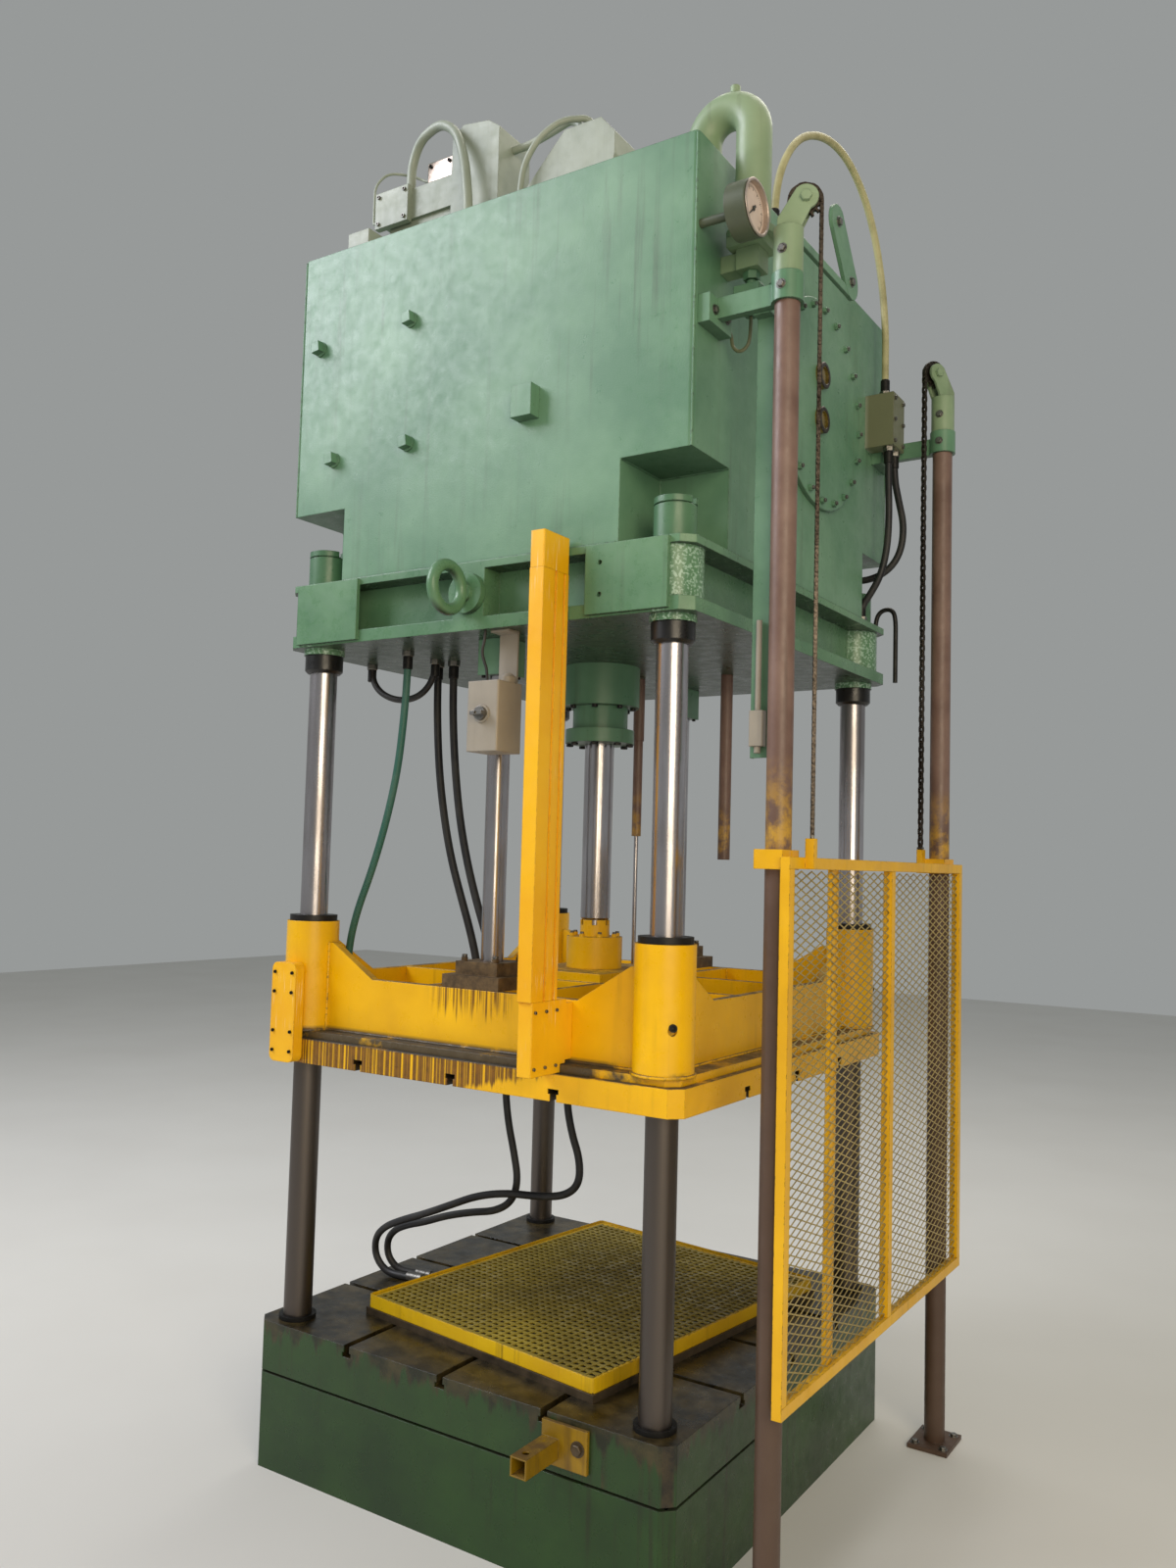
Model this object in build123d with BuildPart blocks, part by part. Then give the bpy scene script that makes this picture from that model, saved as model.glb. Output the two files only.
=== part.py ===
from build123d import *
import os
from math import atan2, cos, degrees, pi, radians, sin, tan

os.makedirs("parts", exist_ok=True)

# A four-column hydraulic press with a tank on its crown, a balanced guard on its right side and
# a slotted platen between bed and crown. The origin is on the floor under the middle of the press,
# X runs to the right along the front, the front faces -Y, and Z is up.

# Stance: column centres and the outline that bed, platen and crown share
column_d = 80
column_x = 590
column_y = 605
deck_x = 675
deck_y = 680
deck_chamfer = 30

# Clearances
seat_gap = 0.2
guide_gap = 0.1
free_gap = 0.5

# Bed
base_h = 258
base_wall = 18
base_floor = 20
joint_h = 7
joint_recess = 12
table_h = 135
foot_collar_d = 104
foot_collar_h = 12
column_nut_d = 98
column_nut_h = 70

# Crossed tee slots in the bed table and under the platen
slot_pitch_x = 325
slot_pitch_y = 314
slot_neck = 20
slot_neck_h = 18
slot_head = 32
slot_head_h = 12

# Platen
platen_z = 1132
platen_plate_h = 68
sole_h = 20
sole_inset = 20
web_h = 155
web_t = 25
web_y = 613
web_x = 598
rib_t = 20
rib_x = 150
rib_y = 200
boss_d = 150
boss_h = 310
bush_d = 104
bush_h = 60
grease_z = 110
grease_d = 22
gusset_h = 250
gusset_foot = 245
wiper_d = 136
wiper_h = 17
peg_d = 16
peg_h = 40
stroke_spot = (0, 235)
stroke_rod_d = 14
spare_spot = (300, 270)

# Ram, its coupling, and the two side rods
ram_d = 90
ram_neck_d = 78
socket_d = 170
socket_z = 1405
socket_h = 90
collar_reach = 51
rod_d = 63
rod_y = 515
rod_pad = 190
rod_pad_h = 35
rod_flange = 140
rod_flange_h = 35

# Crown
crown_z = 2324
crown_sole_h = 35
crown_roof_h = 20
crown_h = 184
corner_tube_d = 148
crown_rib_x = 200
crown_nut_d = 110
crown_nut_h = 52
crown_boss_d = 118
crown_boss_h = 18
head_nut_d = 108
head_nut_h = 107

# Tank on the crown, with a square notch over each column
tank_x = 667
tank_y = 671
tank_h = 996
tank_edge = 12
notch = 200
notch_h = 212
cover_r = 305
cover_bolt_r = 283
cover_bolts = 20
cover_t = 14
cover_y = 95
cover_drop = 434
plug_across = 30
plug_h = 22

# Side guard, its tubes and its balance gear
tube_d = 60.3
tube_wall = 3
tube_x = 878
tube_y = 604
tube_drop = 283
guard_x = 921
guard_half_y = 648
guard_bottom = 535
guard_top = 1730
guard_bar = 27
guard_depth = 24
guard_mid_y = 28
guard_strut_y = -360
guard_strut_w = 40
collar_h = 45
weight_d = 50
weight_l = 500

# Chain and sprockets
chain_pitch = 15.875
sprocket_teeth = 15
sprocket_drop = 209
guard_lug_h = 50
weight_links = 9
sprocket_t = 9
roller_r = 5.08
sprocket_hub_d = 34
sprocket_hub_w = 22
axle_d = 16
fork_gap = 26
fork_t = 8

# Values that follow from the sizes above
table_z = base_h + joint_h
table_top = table_z + table_h
platen_top = platen_z + platen_plate_h
sole_top = platen_top + sole_h
web_top = sole_top + web_h
boss_top = sole_top + boss_h
crown_top = crown_z + crown_h
tank_top = crown_top + tank_h
column_spots = [(x, y) for y in (-column_y, column_y) for x in (-column_x, column_x)]
column_names = ["front_left", "front_right", "rear_left", "rear_right"]
ram_end_z = socket_z + socket_h + collar_reach
cover_z = tank_top - cover_drop
tube_top = tank_top - tube_drop
sprocket_z = tank_top - sprocket_drop
sprocket_r = chain_pitch / (2 * sin(pi / sprocket_teeth))


def plate_outline(half_x, half_y, z, holes_d=0):
    """A rectangle with cut corners at height z, with a hole over each column if holes_d is given."""
    with BuildSketch(Plane.XY.offset(z)) as outline:
        Rectangle(2 * half_x, 2 * half_y)
        chamfer(outline.vertices(), deck_chamfer)
        if holes_d:
            with Locations(*column_spots):
                Circle(holes_d / 2, mode=Mode.SUBTRACT)
    return outline.sketch


def tee_profile(plane, pitch, face_z, into):
    """Three tee slots side by side, cut from face_z down (into -1) or up (into 1)."""
    with BuildSketch(plane) as profile:
        with Locations(*[(k * pitch, face_z + into * slot_neck_h / 2) for k in (-1, 0, 1)]):
            Rectangle(slot_neck, slot_neck_h)
        head_mid = face_z + into * (slot_neck_h + slot_head_h / 2)
        with Locations(*[(k * pitch, head_mid) for k in (-1, 0, 1)]):
            Rectangle(slot_head, slot_head_h)
    return profile.sketch


def block(x, y, z, mode=Mode.ADD):
    """A rectangular block between the two limits given along each axis."""
    with Locations(((x[0] + x[1]) / 2, (y[0] + y[1]) / 2, (z[0] + z[1]) / 2)):
        Box(x[1] - x[0], y[1] - y[0], z[1] - z[0], mode=mode)


def upright(spots, d, z, mode=Mode.ADD):
    """A round bar or hole along Z between two heights, at each spot."""
    with Locations(*[(x, y, (z[0] + z[1]) / 2) for x, y in spots]):
        Cylinder(d / 2, z[1] - z[0], mode=mode)


def hexagons(spots, across, z, mode=Mode.ADD):
    """A hexagon bar along Z between two heights, at each spot."""
    with BuildSketch(Plane.XY.offset(z[0])) as heads:
        with Locations(*spots):
            RegularPolygon(across / 2, 6, major_radius=False)
    extrude(heads.sketch, amount=z[1] - z[0], mode=mode)


# Bed base: a closed welded box with a set-back top plate that the table lies on
with BuildPart() as bed_base:
    extrude(plate_outline(deck_x, deck_y, 0), amount=base_h)
    inner_x = deck_x - base_wall
    inner_y = deck_y - base_wall
    block((-inner_x, inner_x), (-inner_y, inner_y), (base_floor, base_h), Mode.SUBTRACT)
    joint = plate_outline(deck_x - joint_recess, deck_y - joint_recess, base_h, column_nut_d + 6)
    extrude(joint, amount=joint_h)
bed_base.part.label = "bed_base"
export_step(bed_base.part, "parts/bed_base.step")

# Bed table with three tee slots each way
with BuildPart() as bed_table:
    extrude(plate_outline(deck_x, deck_y, table_z, column_d + 2 * seat_gap), amount=table_h)
    extrude(tee_profile(Plane.XZ, slot_pitch_x, table_top, -1), amount=deck_y, both=True, mode=Mode.SUBTRACT)
    extrude(tee_profile(Plane.YZ, slot_pitch_y, table_top, -1), amount=deck_x, both=True, mode=Mode.SUBTRACT)
bed_table.part.label = "bed_table"
export_step(bed_table.part, "parts/bed_table.step")

# Columns: plain turned bars from under the table to above the crown, with chamfered tops
column_foot_z = table_z - column_nut_h - 12
column_top_z = crown_top + head_nut_h - 8
for name, (x, y) in zip(column_names, column_spots):
    with BuildPart() as column:
        upright([(x, y)], column_d, (column_foot_z, column_top_z))
        chamfer(column.edges().filter_by(GeomType.CIRCLE).group_by(Axis.Z)[-1], 4)
    column.part.label = f"column_{name}"
    export_step(column.part, f"parts/column_{name}.step")

# Nuts that hold the columns: under the table, under the crown and above the crown
with BuildPart() as column_nuts:
    hexagons(column_spots, column_nut_d * 0.86, (table_z - column_nut_h, table_z))
    upright(column_spots, crown_nut_d, (crown_z - crown_boss_h - crown_nut_h, crown_z - crown_boss_h))
    low_rims = column_nuts.edges().filter_by(GeomType.CIRCLE).filter_by_position(
        Axis.Z, crown_z - crown_boss_h - crown_nut_h - 1, crown_z - crown_boss_h - crown_nut_h + 1)
    chamfer(low_rims, 8)
    upright(column_spots, head_nut_d, (crown_top, crown_top + head_nut_h - 20))
    upright(column_spots, head_nut_d - 10, (crown_top + head_nut_h - 20, crown_top + head_nut_h - 16))
    upright(column_spots, head_nut_d, (crown_top + head_nut_h - 16, crown_top + head_nut_h))
    with Locations(*[(x, y, crown_top + head_nut_h - 8) for x, y in column_spots]):
        Box(head_nut_d + 2, 19, 16, mode=Mode.SUBTRACT)
    upright(column_spots, column_d + 2 * seat_gap, (0, crown_top + head_nut_h), Mode.SUBTRACT)
column_nuts.part.label = "column_nuts"
export_step(column_nuts.part, "parts/column_nuts.step")

# Thin collars at the columns' feet
with BuildPart() as column_foot_collars:
    upright(column_spots, foot_collar_d, (table_top, table_top + foot_collar_h))
    upright(column_spots, column_d + 2 * seat_gap, (table_top, table_top + foot_collar_h), Mode.SUBTRACT)
column_foot_collars.part.label = "column_foot_collars"
export_step(column_foot_collars.part, "parts/column_foot_collars.step")

# Square socket bracket on the bed's front edge
bracket_tube = 46
bracket_wall = 4
bracket_x = 353
bracket_z = 325
bracket_reach = 140
with BuildPart() as bed_bracket:
    tube_end = -deck_y - bracket_reach
    half = bracket_tube / 2
    block((bracket_x - 26, bracket_x + 104), (-deck_y - 10, -deck_y), (bracket_z - 40, bracket_z + 60))
    wide = (bracket_x - half, bracket_x + half)
    high = (bracket_z - half, bracket_z + half)
    block(wide, (tube_end, -deck_y - 10), high)
    bore = half - bracket_wall
    wide = (bracket_x - bore, bracket_x + bore)
    high = (bracket_z - bore, bracket_z + bore)
    block(wide, (tube_end, -deck_y - 10), high,
          Mode.SUBTRACT)
    upright([(bracket_x, tube_end + 30)], 18, (bracket_z, bracket_z + half), Mode.SUBTRACT)
    with Locations(Plane(origin=(bracket_x + 78, -deck_y - 10, bracket_z + 15), z_dir=(0, -1, 0))):
        Hole(7, depth=10)
bed_bracket.part.label = "bed_bracket"
export_step(bed_bracket.part, "parts/bed_bracket.step")

# Drip tray lying askew on the table: a steel plate with a folded, perforated tray on it
tray_turn = -7.5
tray_w = 860
tray_l = 1060
tray_plate_t = 20
tray_rim_h = 37
tray_wall = 4
tray_centre = (47, -3)
tray_hole = 60
tray_plane = Plane(origin=(tray_centre[0], tray_centre[1], table_top), x_dir=(cos(radians(tray_turn)),
                   sin(radians(tray_turn)), 0), z_dir=(0, 0, 1))
with BuildPart(tray_plane) as tray_plate:
    Box(tray_w, tray_l, tray_plate_t, align=(Align.CENTER, Align.CENTER, Align.MIN))
tray_plate.part.label = "tray_plate"
export_step(tray_plate.part, "parts/tray_plate.step")

with BuildPart(tray_plane.offset(tray_plate_t)) as drip_tray:
    Box(tray_w - 8, tray_l - 8, tray_rim_h, align=(Align.CENTER, Align.CENTER, Align.MIN))
    fillet(drip_tray.edges().filter_by(Axis.Z), 14)
    with BuildSketch(tray_plane.offset(tray_plate_t + tray_wall)):
        RectangleRounded(tray_w - 8 - 2 * tray_wall, tray_l - 8 - 2 * tray_wall, 10)
    extrude(amount=tray_rim_h - tray_wall - 3 - 6, mode=Mode.SUBTRACT)
    with BuildSketch(tray_plane.offset(tray_plate_t + tray_rim_h - 6)):
        Rectangle(tray_w - 8 - 2 * 20, tray_l - 8 - 2 * 20)
    extrude(amount=6, mode=Mode.SUBTRACT)
    with BuildSketch(tray_plane.offset(tray_plate_t + tray_rim_h - 9)):
        with GridLocations(tray_w / 11, tray_l / 14, 9, 12):
            Rectangle(tray_hole, tray_hole)
    extrude(amount=3, mode=Mode.SUBTRACT)
drip_tray.part.label = "drip_tray"
export_step(drip_tray.part, "parts/drip_tray.step")

# Platen plate with tee slots underneath and a clearance hole over each column
with BuildPart() as platen_plate:
    extrude(plate_outline(deck_x, deck_y, platen_z, column_d + 2 * free_gap), amount=platen_plate_h)
    extrude(tee_profile(Plane.XZ, slot_pitch_x, platen_z, 1), amount=deck_y, both=True, mode=Mode.SUBTRACT)
    extrude(tee_profile(Plane.YZ, slot_pitch_y, platen_z, 1), amount=deck_x, both=True, mode=Mode.SUBTRACT)
    upright([stroke_spot], stroke_rod_d + 4, (platen_z, platen_top), Mode.SUBTRACT)
platen_plate.part.label = "platen_plate"
export_step(platen_plate.part, "parts/platen_plate.step")


def gusset(spot, axis, side):
    """A web end that climbs from the web's top to the boss, along x or y from one column."""
    x, y = spot
    root = boss_d / 2 - 12
    top = sole_top + gusset_h
    with BuildLine() as rise:
        Polyline((root, web_top - 10), (gusset_foot, web_top - 10), (gusset_foot, web_top),
                 (boss_d / 2 + 15, top), (root, top), close=True)
    inward = -side
    if axis == "x":
        foot = (x, web_y * (1 if y > 0 else -1), 0)
        plane = Plane(origin=foot, x_dir=(inward, 0, 0), z_dir=(0, -inward, 0))
        grow = web_t if (y > 0) == (inward > 0) else -web_t
    else:
        foot = (web_x * (1 if x > 0 else -1), y, 0)
        plane = Plane(origin=foot, x_dir=(0, inward, 0), z_dir=(inward, 0, 0))
        grow = -web_t if (x > 0) == (inward > 0) else web_t
    with BuildSketch(plane) as shape:
        make_face(rise.edges())
    return extrude(shape.sketch, amount=grow, mode=Mode.PRIVATE)


# Platen frame: a welded grid of webs and ribs between four guide bosses
with BuildPart() as platen_frame:
    sole_x = deck_x - sole_inset
    sole_y = deck_y - sole_inset
    extrude(plate_outline(sole_x, sole_y, platen_top, column_d + 2 * free_gap), amount=sole_h)
    upright(column_spots, boss_d, (sole_top, boss_top))
    for side in (-1, 1):
        outer = sorted((side * web_y, side * (web_y - web_t)))
        block((-column_x, column_x), outer, (sole_top, web_top))
        outer = sorted((side * web_x, side * (web_x - web_t)))
        block(outer, (-column_y, column_y), (sole_top, web_top))
        rib = (side * rib_x - rib_t / 2, side * rib_x + rib_t / 2)
        block(rib, (-web_y + web_t, web_y - web_t), (sole_top, web_top))
        rib = (side * rib_y - rib_t / 2, side * rib_y + rib_t / 2)
        block((-web_x + web_t, web_x - web_t), rib, (sole_top, web_top))
    for x, y in column_spots:
        add(gusset((x, y), "x", 1 if x > 0 else -1))
        add(gusset((x, y), "y", 1 if y > 0 else -1))
    block((-rib_x, rib_x), (-rib_y, rib_y), (web_top - rib_t, socket_z - 5))
    for side in (-1, 1):
        pad = sorted((side * (rod_y - rod_pad / 2), side * web_y))
        block((-rod_pad / 2, rod_pad / 2), pad, (web_top - rib_t, web_top))
    upright([(web_x - 60, 120)], peg_d, (sole_top, web_top + peg_h))
    upright(column_spots, column_d + 2 * free_gap, (platen_top, boss_top), Mode.SUBTRACT)
    upright(column_spots, bush_d + 2 * seat_gap, (sole_top, sole_top + bush_h), Mode.SUBTRACT)
    upright(column_spots, bush_d + 2 * seat_gap, (boss_top - bush_h, boss_top), Mode.SUBTRACT)
    upright([stroke_spot], stroke_rod_d + 4, (platen_top, sole_top), Mode.SUBTRACT)
    for x, y in column_spots:
        outward = Vector(x / column_x, y / column_y, 0).normalized()
        spot = Vector(x, y, sole_top + grease_z) + outward * boss_d / 2
        with Locations(Plane(origin=spot, z_dir=outward)):
            Hole(grease_d / 2, depth=12)
platen_frame.part.label = "platen_frame"
export_step(platen_frame.part, "parts/platen_frame.step")

# Guide rings: bushes in both ends of each boss, which run on the columns, and a wiper on top
with BuildPart() as guide_rings:
    for foot in (sole_top, boss_top - bush_h):
        upright(column_spots, bush_d, (foot, foot + bush_h))
    upright(column_spots, column_d + 2 * guide_gap, (sole_top, boss_top), Mode.SUBTRACT)
    upright(column_spots, wiper_d, (boss_top, boss_top + wiper_h))
    upright(column_spots, column_d + 2 * free_gap, (boss_top, boss_top + wiper_h), Mode.SUBTRACT)
guide_rings.part.label = "guide_rings"
export_step(guide_rings.part, "parts/guide_rings.step")

# Ram socket: a bolted disc on the platen and the slotted collar that grips the ram's neck
with BuildPart() as ram_socket:
    upright([(0, 0)], socket_d, (socket_z - 5, socket_z + socket_h))
    with PolarLocations(socket_d / 2 - 14, 8):
        with Locations((0, 0, socket_z + socket_h + 5)):
            Cylinder(8, 10)
    upright([(0, 0)], ram_neck_d + 12, (socket_z + socket_h, ram_end_z - 1))
    for turn in range(3):
        with Locations(Location((0, 0, ram_end_z - 8), (0, 0, 60 * turn))):
            Box(ram_neck_d + 14, 14, 16, mode=Mode.SUBTRACT)
    upright([(0, 0)], ram_neck_d + 2 * seat_gap, (socket_z + 20, ram_end_z), Mode.SUBTRACT)
ram_socket.part.label = "ram_socket"
export_step(ram_socket.part, "parts/ram_socket.step")

# Main cylinder: flanged gland under the crown, bored for the ram
gland_cap_d = 240
gland_neck_d = 170
gland_flange_d = 213
gland_flange_z = 2087
gland_flange_h = 42
gland_neck_z = 2200
stroke_up = 500
stroke_down = 450
ram_top_z = gland_flange_z + stroke_down + 260
with BuildPart() as main_cylinder:
    upright([(0, 0)], gland_cap_d, (gland_neck_z, crown_z + crown_sole_h + 80))
    upright([(0, 0)], gland_neck_d, (gland_flange_z + gland_flange_h, gland_neck_z))
    upright([(0, 0)], gland_flange_d, (gland_flange_z, gland_flange_z + gland_flange_h))
    upright([(0, 0)], gland_neck_d, (crown_z + crown_sole_h + 80, ram_top_z + stroke_up + 40))
    upright([(0, 0)], ram_d + 2 * guide_gap, (gland_flange_z, ram_top_z + stroke_up + 10), Mode.SUBTRACT)
main_cylinder.part.label = "main_cylinder"
export_step(main_cylinder.part, "parts/main_cylinder.step")

# Ram: a ground bar with a turned-down neck in the socket
with BuildPart() as ram:
    upright([(0, 0)], ram_d, (ram_end_z, ram_top_z))
    chamfer(ram.edges().filter_by(GeomType.CIRCLE).group_by(Axis.Z)[0], 5)
    upright([(0, 0)], ram_neck_d, (socket_z + 20, ram_end_z))
ram.part.label = "ram"
export_step(ram.part, "parts/ram.step")

# Side rods with their pads and bolted flanges on the front and rear webs
side_gland_w = 92
side_gland_h = 99
rod_top_z = crown_z + stroke_down + 60
with BuildPart() as side_rods:
    upright([(0, -rod_y), (0, rod_y)], rod_d, (web_top + 2, rod_top_z))
side_rods.part.label = "side_rods"
export_step(side_rods.part, "parts/side_rods.step")

with BuildPart() as rod_flanges:
    for y in (-rod_y, rod_y):
        near = (y - rod_pad / 2, y + rod_pad / 2)
        block((-rod_pad / 2, rod_pad / 2), near, (web_top, web_top + rod_pad_h))
        near = (y - rod_flange / 2, y + rod_flange / 2)
        flange = (web_top + rod_pad_h, web_top + rod_pad_h + rod_flange_h)
        block((-rod_flange / 2, rod_flange / 2), near, flange)
        with Locations((0, y, flange[1])):
            with GridLocations(rod_flange - 34, rod_flange - 34, 2, 2):
                Cylinder(9, 10, align=(Align.CENTER, Align.CENTER, Align.MIN))
        upright([(0, y)], rod_d + 2 * seat_gap, (web_top, flange[1]), Mode.SUBTRACT)
rod_flanges.part.label = "rod_flanges"
export_step(rod_flanges.part, "parts/rod_flanges.step")

# Glands of the side cylinders under the crown, with the cylinders that stand in the crown
with BuildPart() as side_cylinders:
    for y in (-rod_y, rod_y):
        near = (y - side_gland_w / 2, y + side_gland_w / 2)
        block((-side_gland_w / 2, side_gland_w / 2), near, (crown_z - side_gland_h, crown_z))
        upright([(0, y)], side_gland_w, (crown_z, rod_top_z + stroke_up + 40))
        bore_z = (crown_z - side_gland_h, rod_top_z + stroke_up + 10)
        upright([(0, y)], rod_d + 2 * guide_gap, bore_z, Mode.SUBTRACT)
side_cylinders.part.label = "side_cylinders"
export_step(side_cylinders.part, "parts/side_cylinders.step")

# Crown: a welded box of sole, roof, set-back webs and four corner tubes
crown_holes = column_d + 2 * seat_gap
main_pass_d = gland_cap_d + 2 * seat_gap
side_pass_d = side_gland_w + 2 * seat_gap
with BuildPart() as crown:
    extrude(plate_outline(deck_x, deck_y, crown_z, crown_holes), amount=crown_sole_h)
    extrude(plate_outline(deck_x, deck_y, crown_top - crown_roof_h, crown_holes), amount=crown_roof_h)
    upright(column_spots, corner_tube_d, (crown_z, crown_top))
    middle = (crown_z + crown_sole_h, crown_top - crown_roof_h)
    for side in (-1, 1):
        outer = sorted((side * web_y, side * (web_y - web_t)))
        block((-column_x, column_x), outer, middle)
        outer = sorted((side * web_x, side * (web_x - web_t)))
        block(outer, (-column_y, column_y), middle)
        rib = (side * crown_rib_x - rib_t / 2, side * crown_rib_x + rib_t / 2)
        block(rib, (-web_y + web_t, web_y - web_t), middle)
    block((-45, 60), (-deck_y, -web_y + web_t), middle)
    for near_x in ((-620, -385), (385, 620)):
        block(near_x, (-deck_y - 12, -deck_y), (crown_z + 6, crown_top - 4))
    upright(column_spots, crown_boss_d, (crown_z - crown_boss_h, crown_z))
    upright(column_spots, crown_holes, (crown_z - crown_boss_h, crown_top), Mode.SUBTRACT)
    upright([(0, 0)], main_pass_d, (crown_z, crown_top), Mode.SUBTRACT)
    upright([(0, -rod_y), (0, rod_y)], side_pass_d, (crown_z, crown_top), Mode.SUBTRACT)
    with Locations(Plane(origin=(428, -deck_y - 12, crown_top - 50), z_dir=(0, -1, 0))):
        with Locations((0, 0), (80, 0)):
            Hole(6, depth=12)
crown.part.label = "crown"
export_step(crown.part, "parts/crown.step")

# Lifting eye screwed into the crown's front block
eye_x = 10
eye_z = 2422
eye_reach = 91
eye_d = 116
eye_bar = 32
with BuildPart() as lifting_eye:
    with Locations(Plane(origin=(eye_x, -deck_y, eye_z), z_dir=(0, -1, 0))):
        Cylinder(55, 20, align=(Align.CENTER, Align.CENTER, Align.MIN))
    with Locations(Plane(origin=(eye_x, -deck_y - eye_reach, eye_z), z_dir=(1, 0, 0))):
        Torus(eye_d / 2, eye_bar / 2)
    with BuildSketch(Plane.XZ.offset(deck_y + 18)) as shank:
        with Locations((eye_x, eye_z)):
            Circle(26)
    extrude(shank.sketch, amount=12)
lifting_eye.part.label = "lifting_eye"
export_step(lifting_eye.part, "parts/lifting_eye.step")

# Tank: a hollow welded box with a notch over each column and passes for the cylinders
tank_wall = 10
with BuildPart() as oil_tank:
    block((-tank_x, tank_x), (-tank_y, tank_y), (crown_top, tank_top))
    fillet(oil_tank.edges().filter_by(Axis.Z), tank_edge)
    for x in (-1, 1):
        for y in (-1, 1):
            near_x = sorted((x * (tank_x - notch), x * (tank_x + 1)))
            near_y = sorted((y * (tank_y - notch), y * (tank_y + 1)))
            block(near_x, near_y, (crown_top, crown_top + notch_h), Mode.SUBTRACT)
    with BuildPart(mode=Mode.PRIVATE) as tank_space:
        block((tank_wall - tank_x, tank_x - tank_wall), (tank_wall - tank_y, tank_y - tank_wall),
              (crown_top + tank_wall, tank_top - tank_wall))
        for x in (-1, 1):
            for y in (-1, 1):
                near_x = sorted((x * (tank_x - notch - tank_wall), x * tank_x))
                near_y = sorted((y * (tank_y - notch - tank_wall), y * tank_y))
                block(near_x, near_y, (crown_top, crown_top + notch_h + tank_wall), Mode.SUBTRACT)
    add(tank_space.part, mode=Mode.SUBTRACT)
    upright([(0, 0)], gland_neck_d + 2 * seat_gap, (crown_top, crown_top + tank_wall), Mode.SUBTRACT)
    upright([(0, -rod_y), (0, rod_y)], side_pass_d, (crown_top, crown_top + tank_wall), Mode.SUBTRACT)
oil_tank.part.label = "oil_tank"
export_step(oil_tank.part, "parts/oil_tank.step")

# Round hand-hole cover on the tank's right side
side_face = Plane(origin=(tank_x, 0, 0), x_dir=(0, 1, 0), z_dir=(1, 0, 0))
with BuildPart() as side_cover:
    with BuildSketch(side_face):
        with Locations((cover_y, cover_z)):
            Circle(cover_r)
    extrude(amount=cover_t)
    fillet(side_cover.faces().sort_by(Axis.X)[-1].edges(), 3)
side_cover.part.label = "side_cover"
export_step(side_cover.part, "parts/side_cover.step")

# Two round oil sight glasses on the cover
glass_d = 76
glass_spots = [(cover_y - 17, cover_z + 81), (cover_y - 17, cover_z - 51)]
with BuildPart() as sight_glasses:
    with BuildSketch(side_face.offset(cover_t)):
        with Locations(*glass_spots):
            Circle(glass_d / 2)
    extrude(amount=14)
    with BuildSketch(side_face.offset(cover_t + 8)):
        with Locations(*glass_spots):
            Circle(glass_d / 2 - 14)
    extrude(amount=6, mode=Mode.SUBTRACT)
sight_glasses.part.label = "sight_glasses"
export_step(sight_glasses.part, "parts/sight_glasses.step")

# Square-headed plugs and a lug box on the tank's front, and the cover's ring of bolts
plug_spots = [(-237, tank_top - 275), (-589, tank_top - 287)]
plug_spots += [(-234, tank_top - 631), (-517, tank_top - 634)]
lug_spot = (182, tank_top - 596)
front_face = Plane(origin=(0, -tank_y, 0), x_dir=(1, 0, 0), z_dir=(0, -1, 0))
with BuildPart() as tank_plugs:
    with BuildSketch(front_face):
        with Locations(*plug_spots):
            Circle(plug_across * 0.75)
    extrude(amount=5)
    with BuildSketch(front_face.offset(5)):
        with Locations(*plug_spots):
            Rectangle(plug_across, plug_across, rotation=8)
    extrude(amount=plug_h)
    with BuildSketch(front_face):
        with Locations(lug_spot):
            Rectangle(65, 84)
    extrude(amount=38)
    with BuildSketch(side_face.offset(cover_t)):
        with Locations((cover_y, cover_z)):
            with PolarLocations(cover_bolt_r, cover_bolts):
                RegularPolygon(11, 6)
    extrude(amount=10)
tank_plugs.part.label = "tank_plugs"
export_step(tank_plugs.part, "parts/tank_plugs.step")


def over_tank(points):
    """Points whose heights are measured from the tank's roof."""
    return [(x, y, tank_top + z) for x, y, z in points]


def pipe(points, d):
    """A round tube of diameter d through the points, its corners rounded as wide as the runs allow."""
    places = [Vector(*p) for p in points]
    radii = []
    for a, b, c in zip(places, places[1:], places[2:]):
        turn = radians((b - a).get_angle(c - b))
        run = min((b - a).length, (c - b).length)
        radii.append(0.45 * run / tan(turn / 2))
    with BuildPart() as tube:
        with BuildLine() as route:
            FilletPolyline(*places, radius=radii)
        path = route.wires()[0]
        with BuildSketch(Plane(origin=path @ 0, z_dir=path % 0)):
            Circle(d / 2)
        sweep()
    whole = pi * d * d / 4 * path.length
    print("tube", d, "radii", [round(r) for r in radii], "length", round(path.length),
          "volume share", round(tube.part.volume / whole, 4))
    return tube.part


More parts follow.
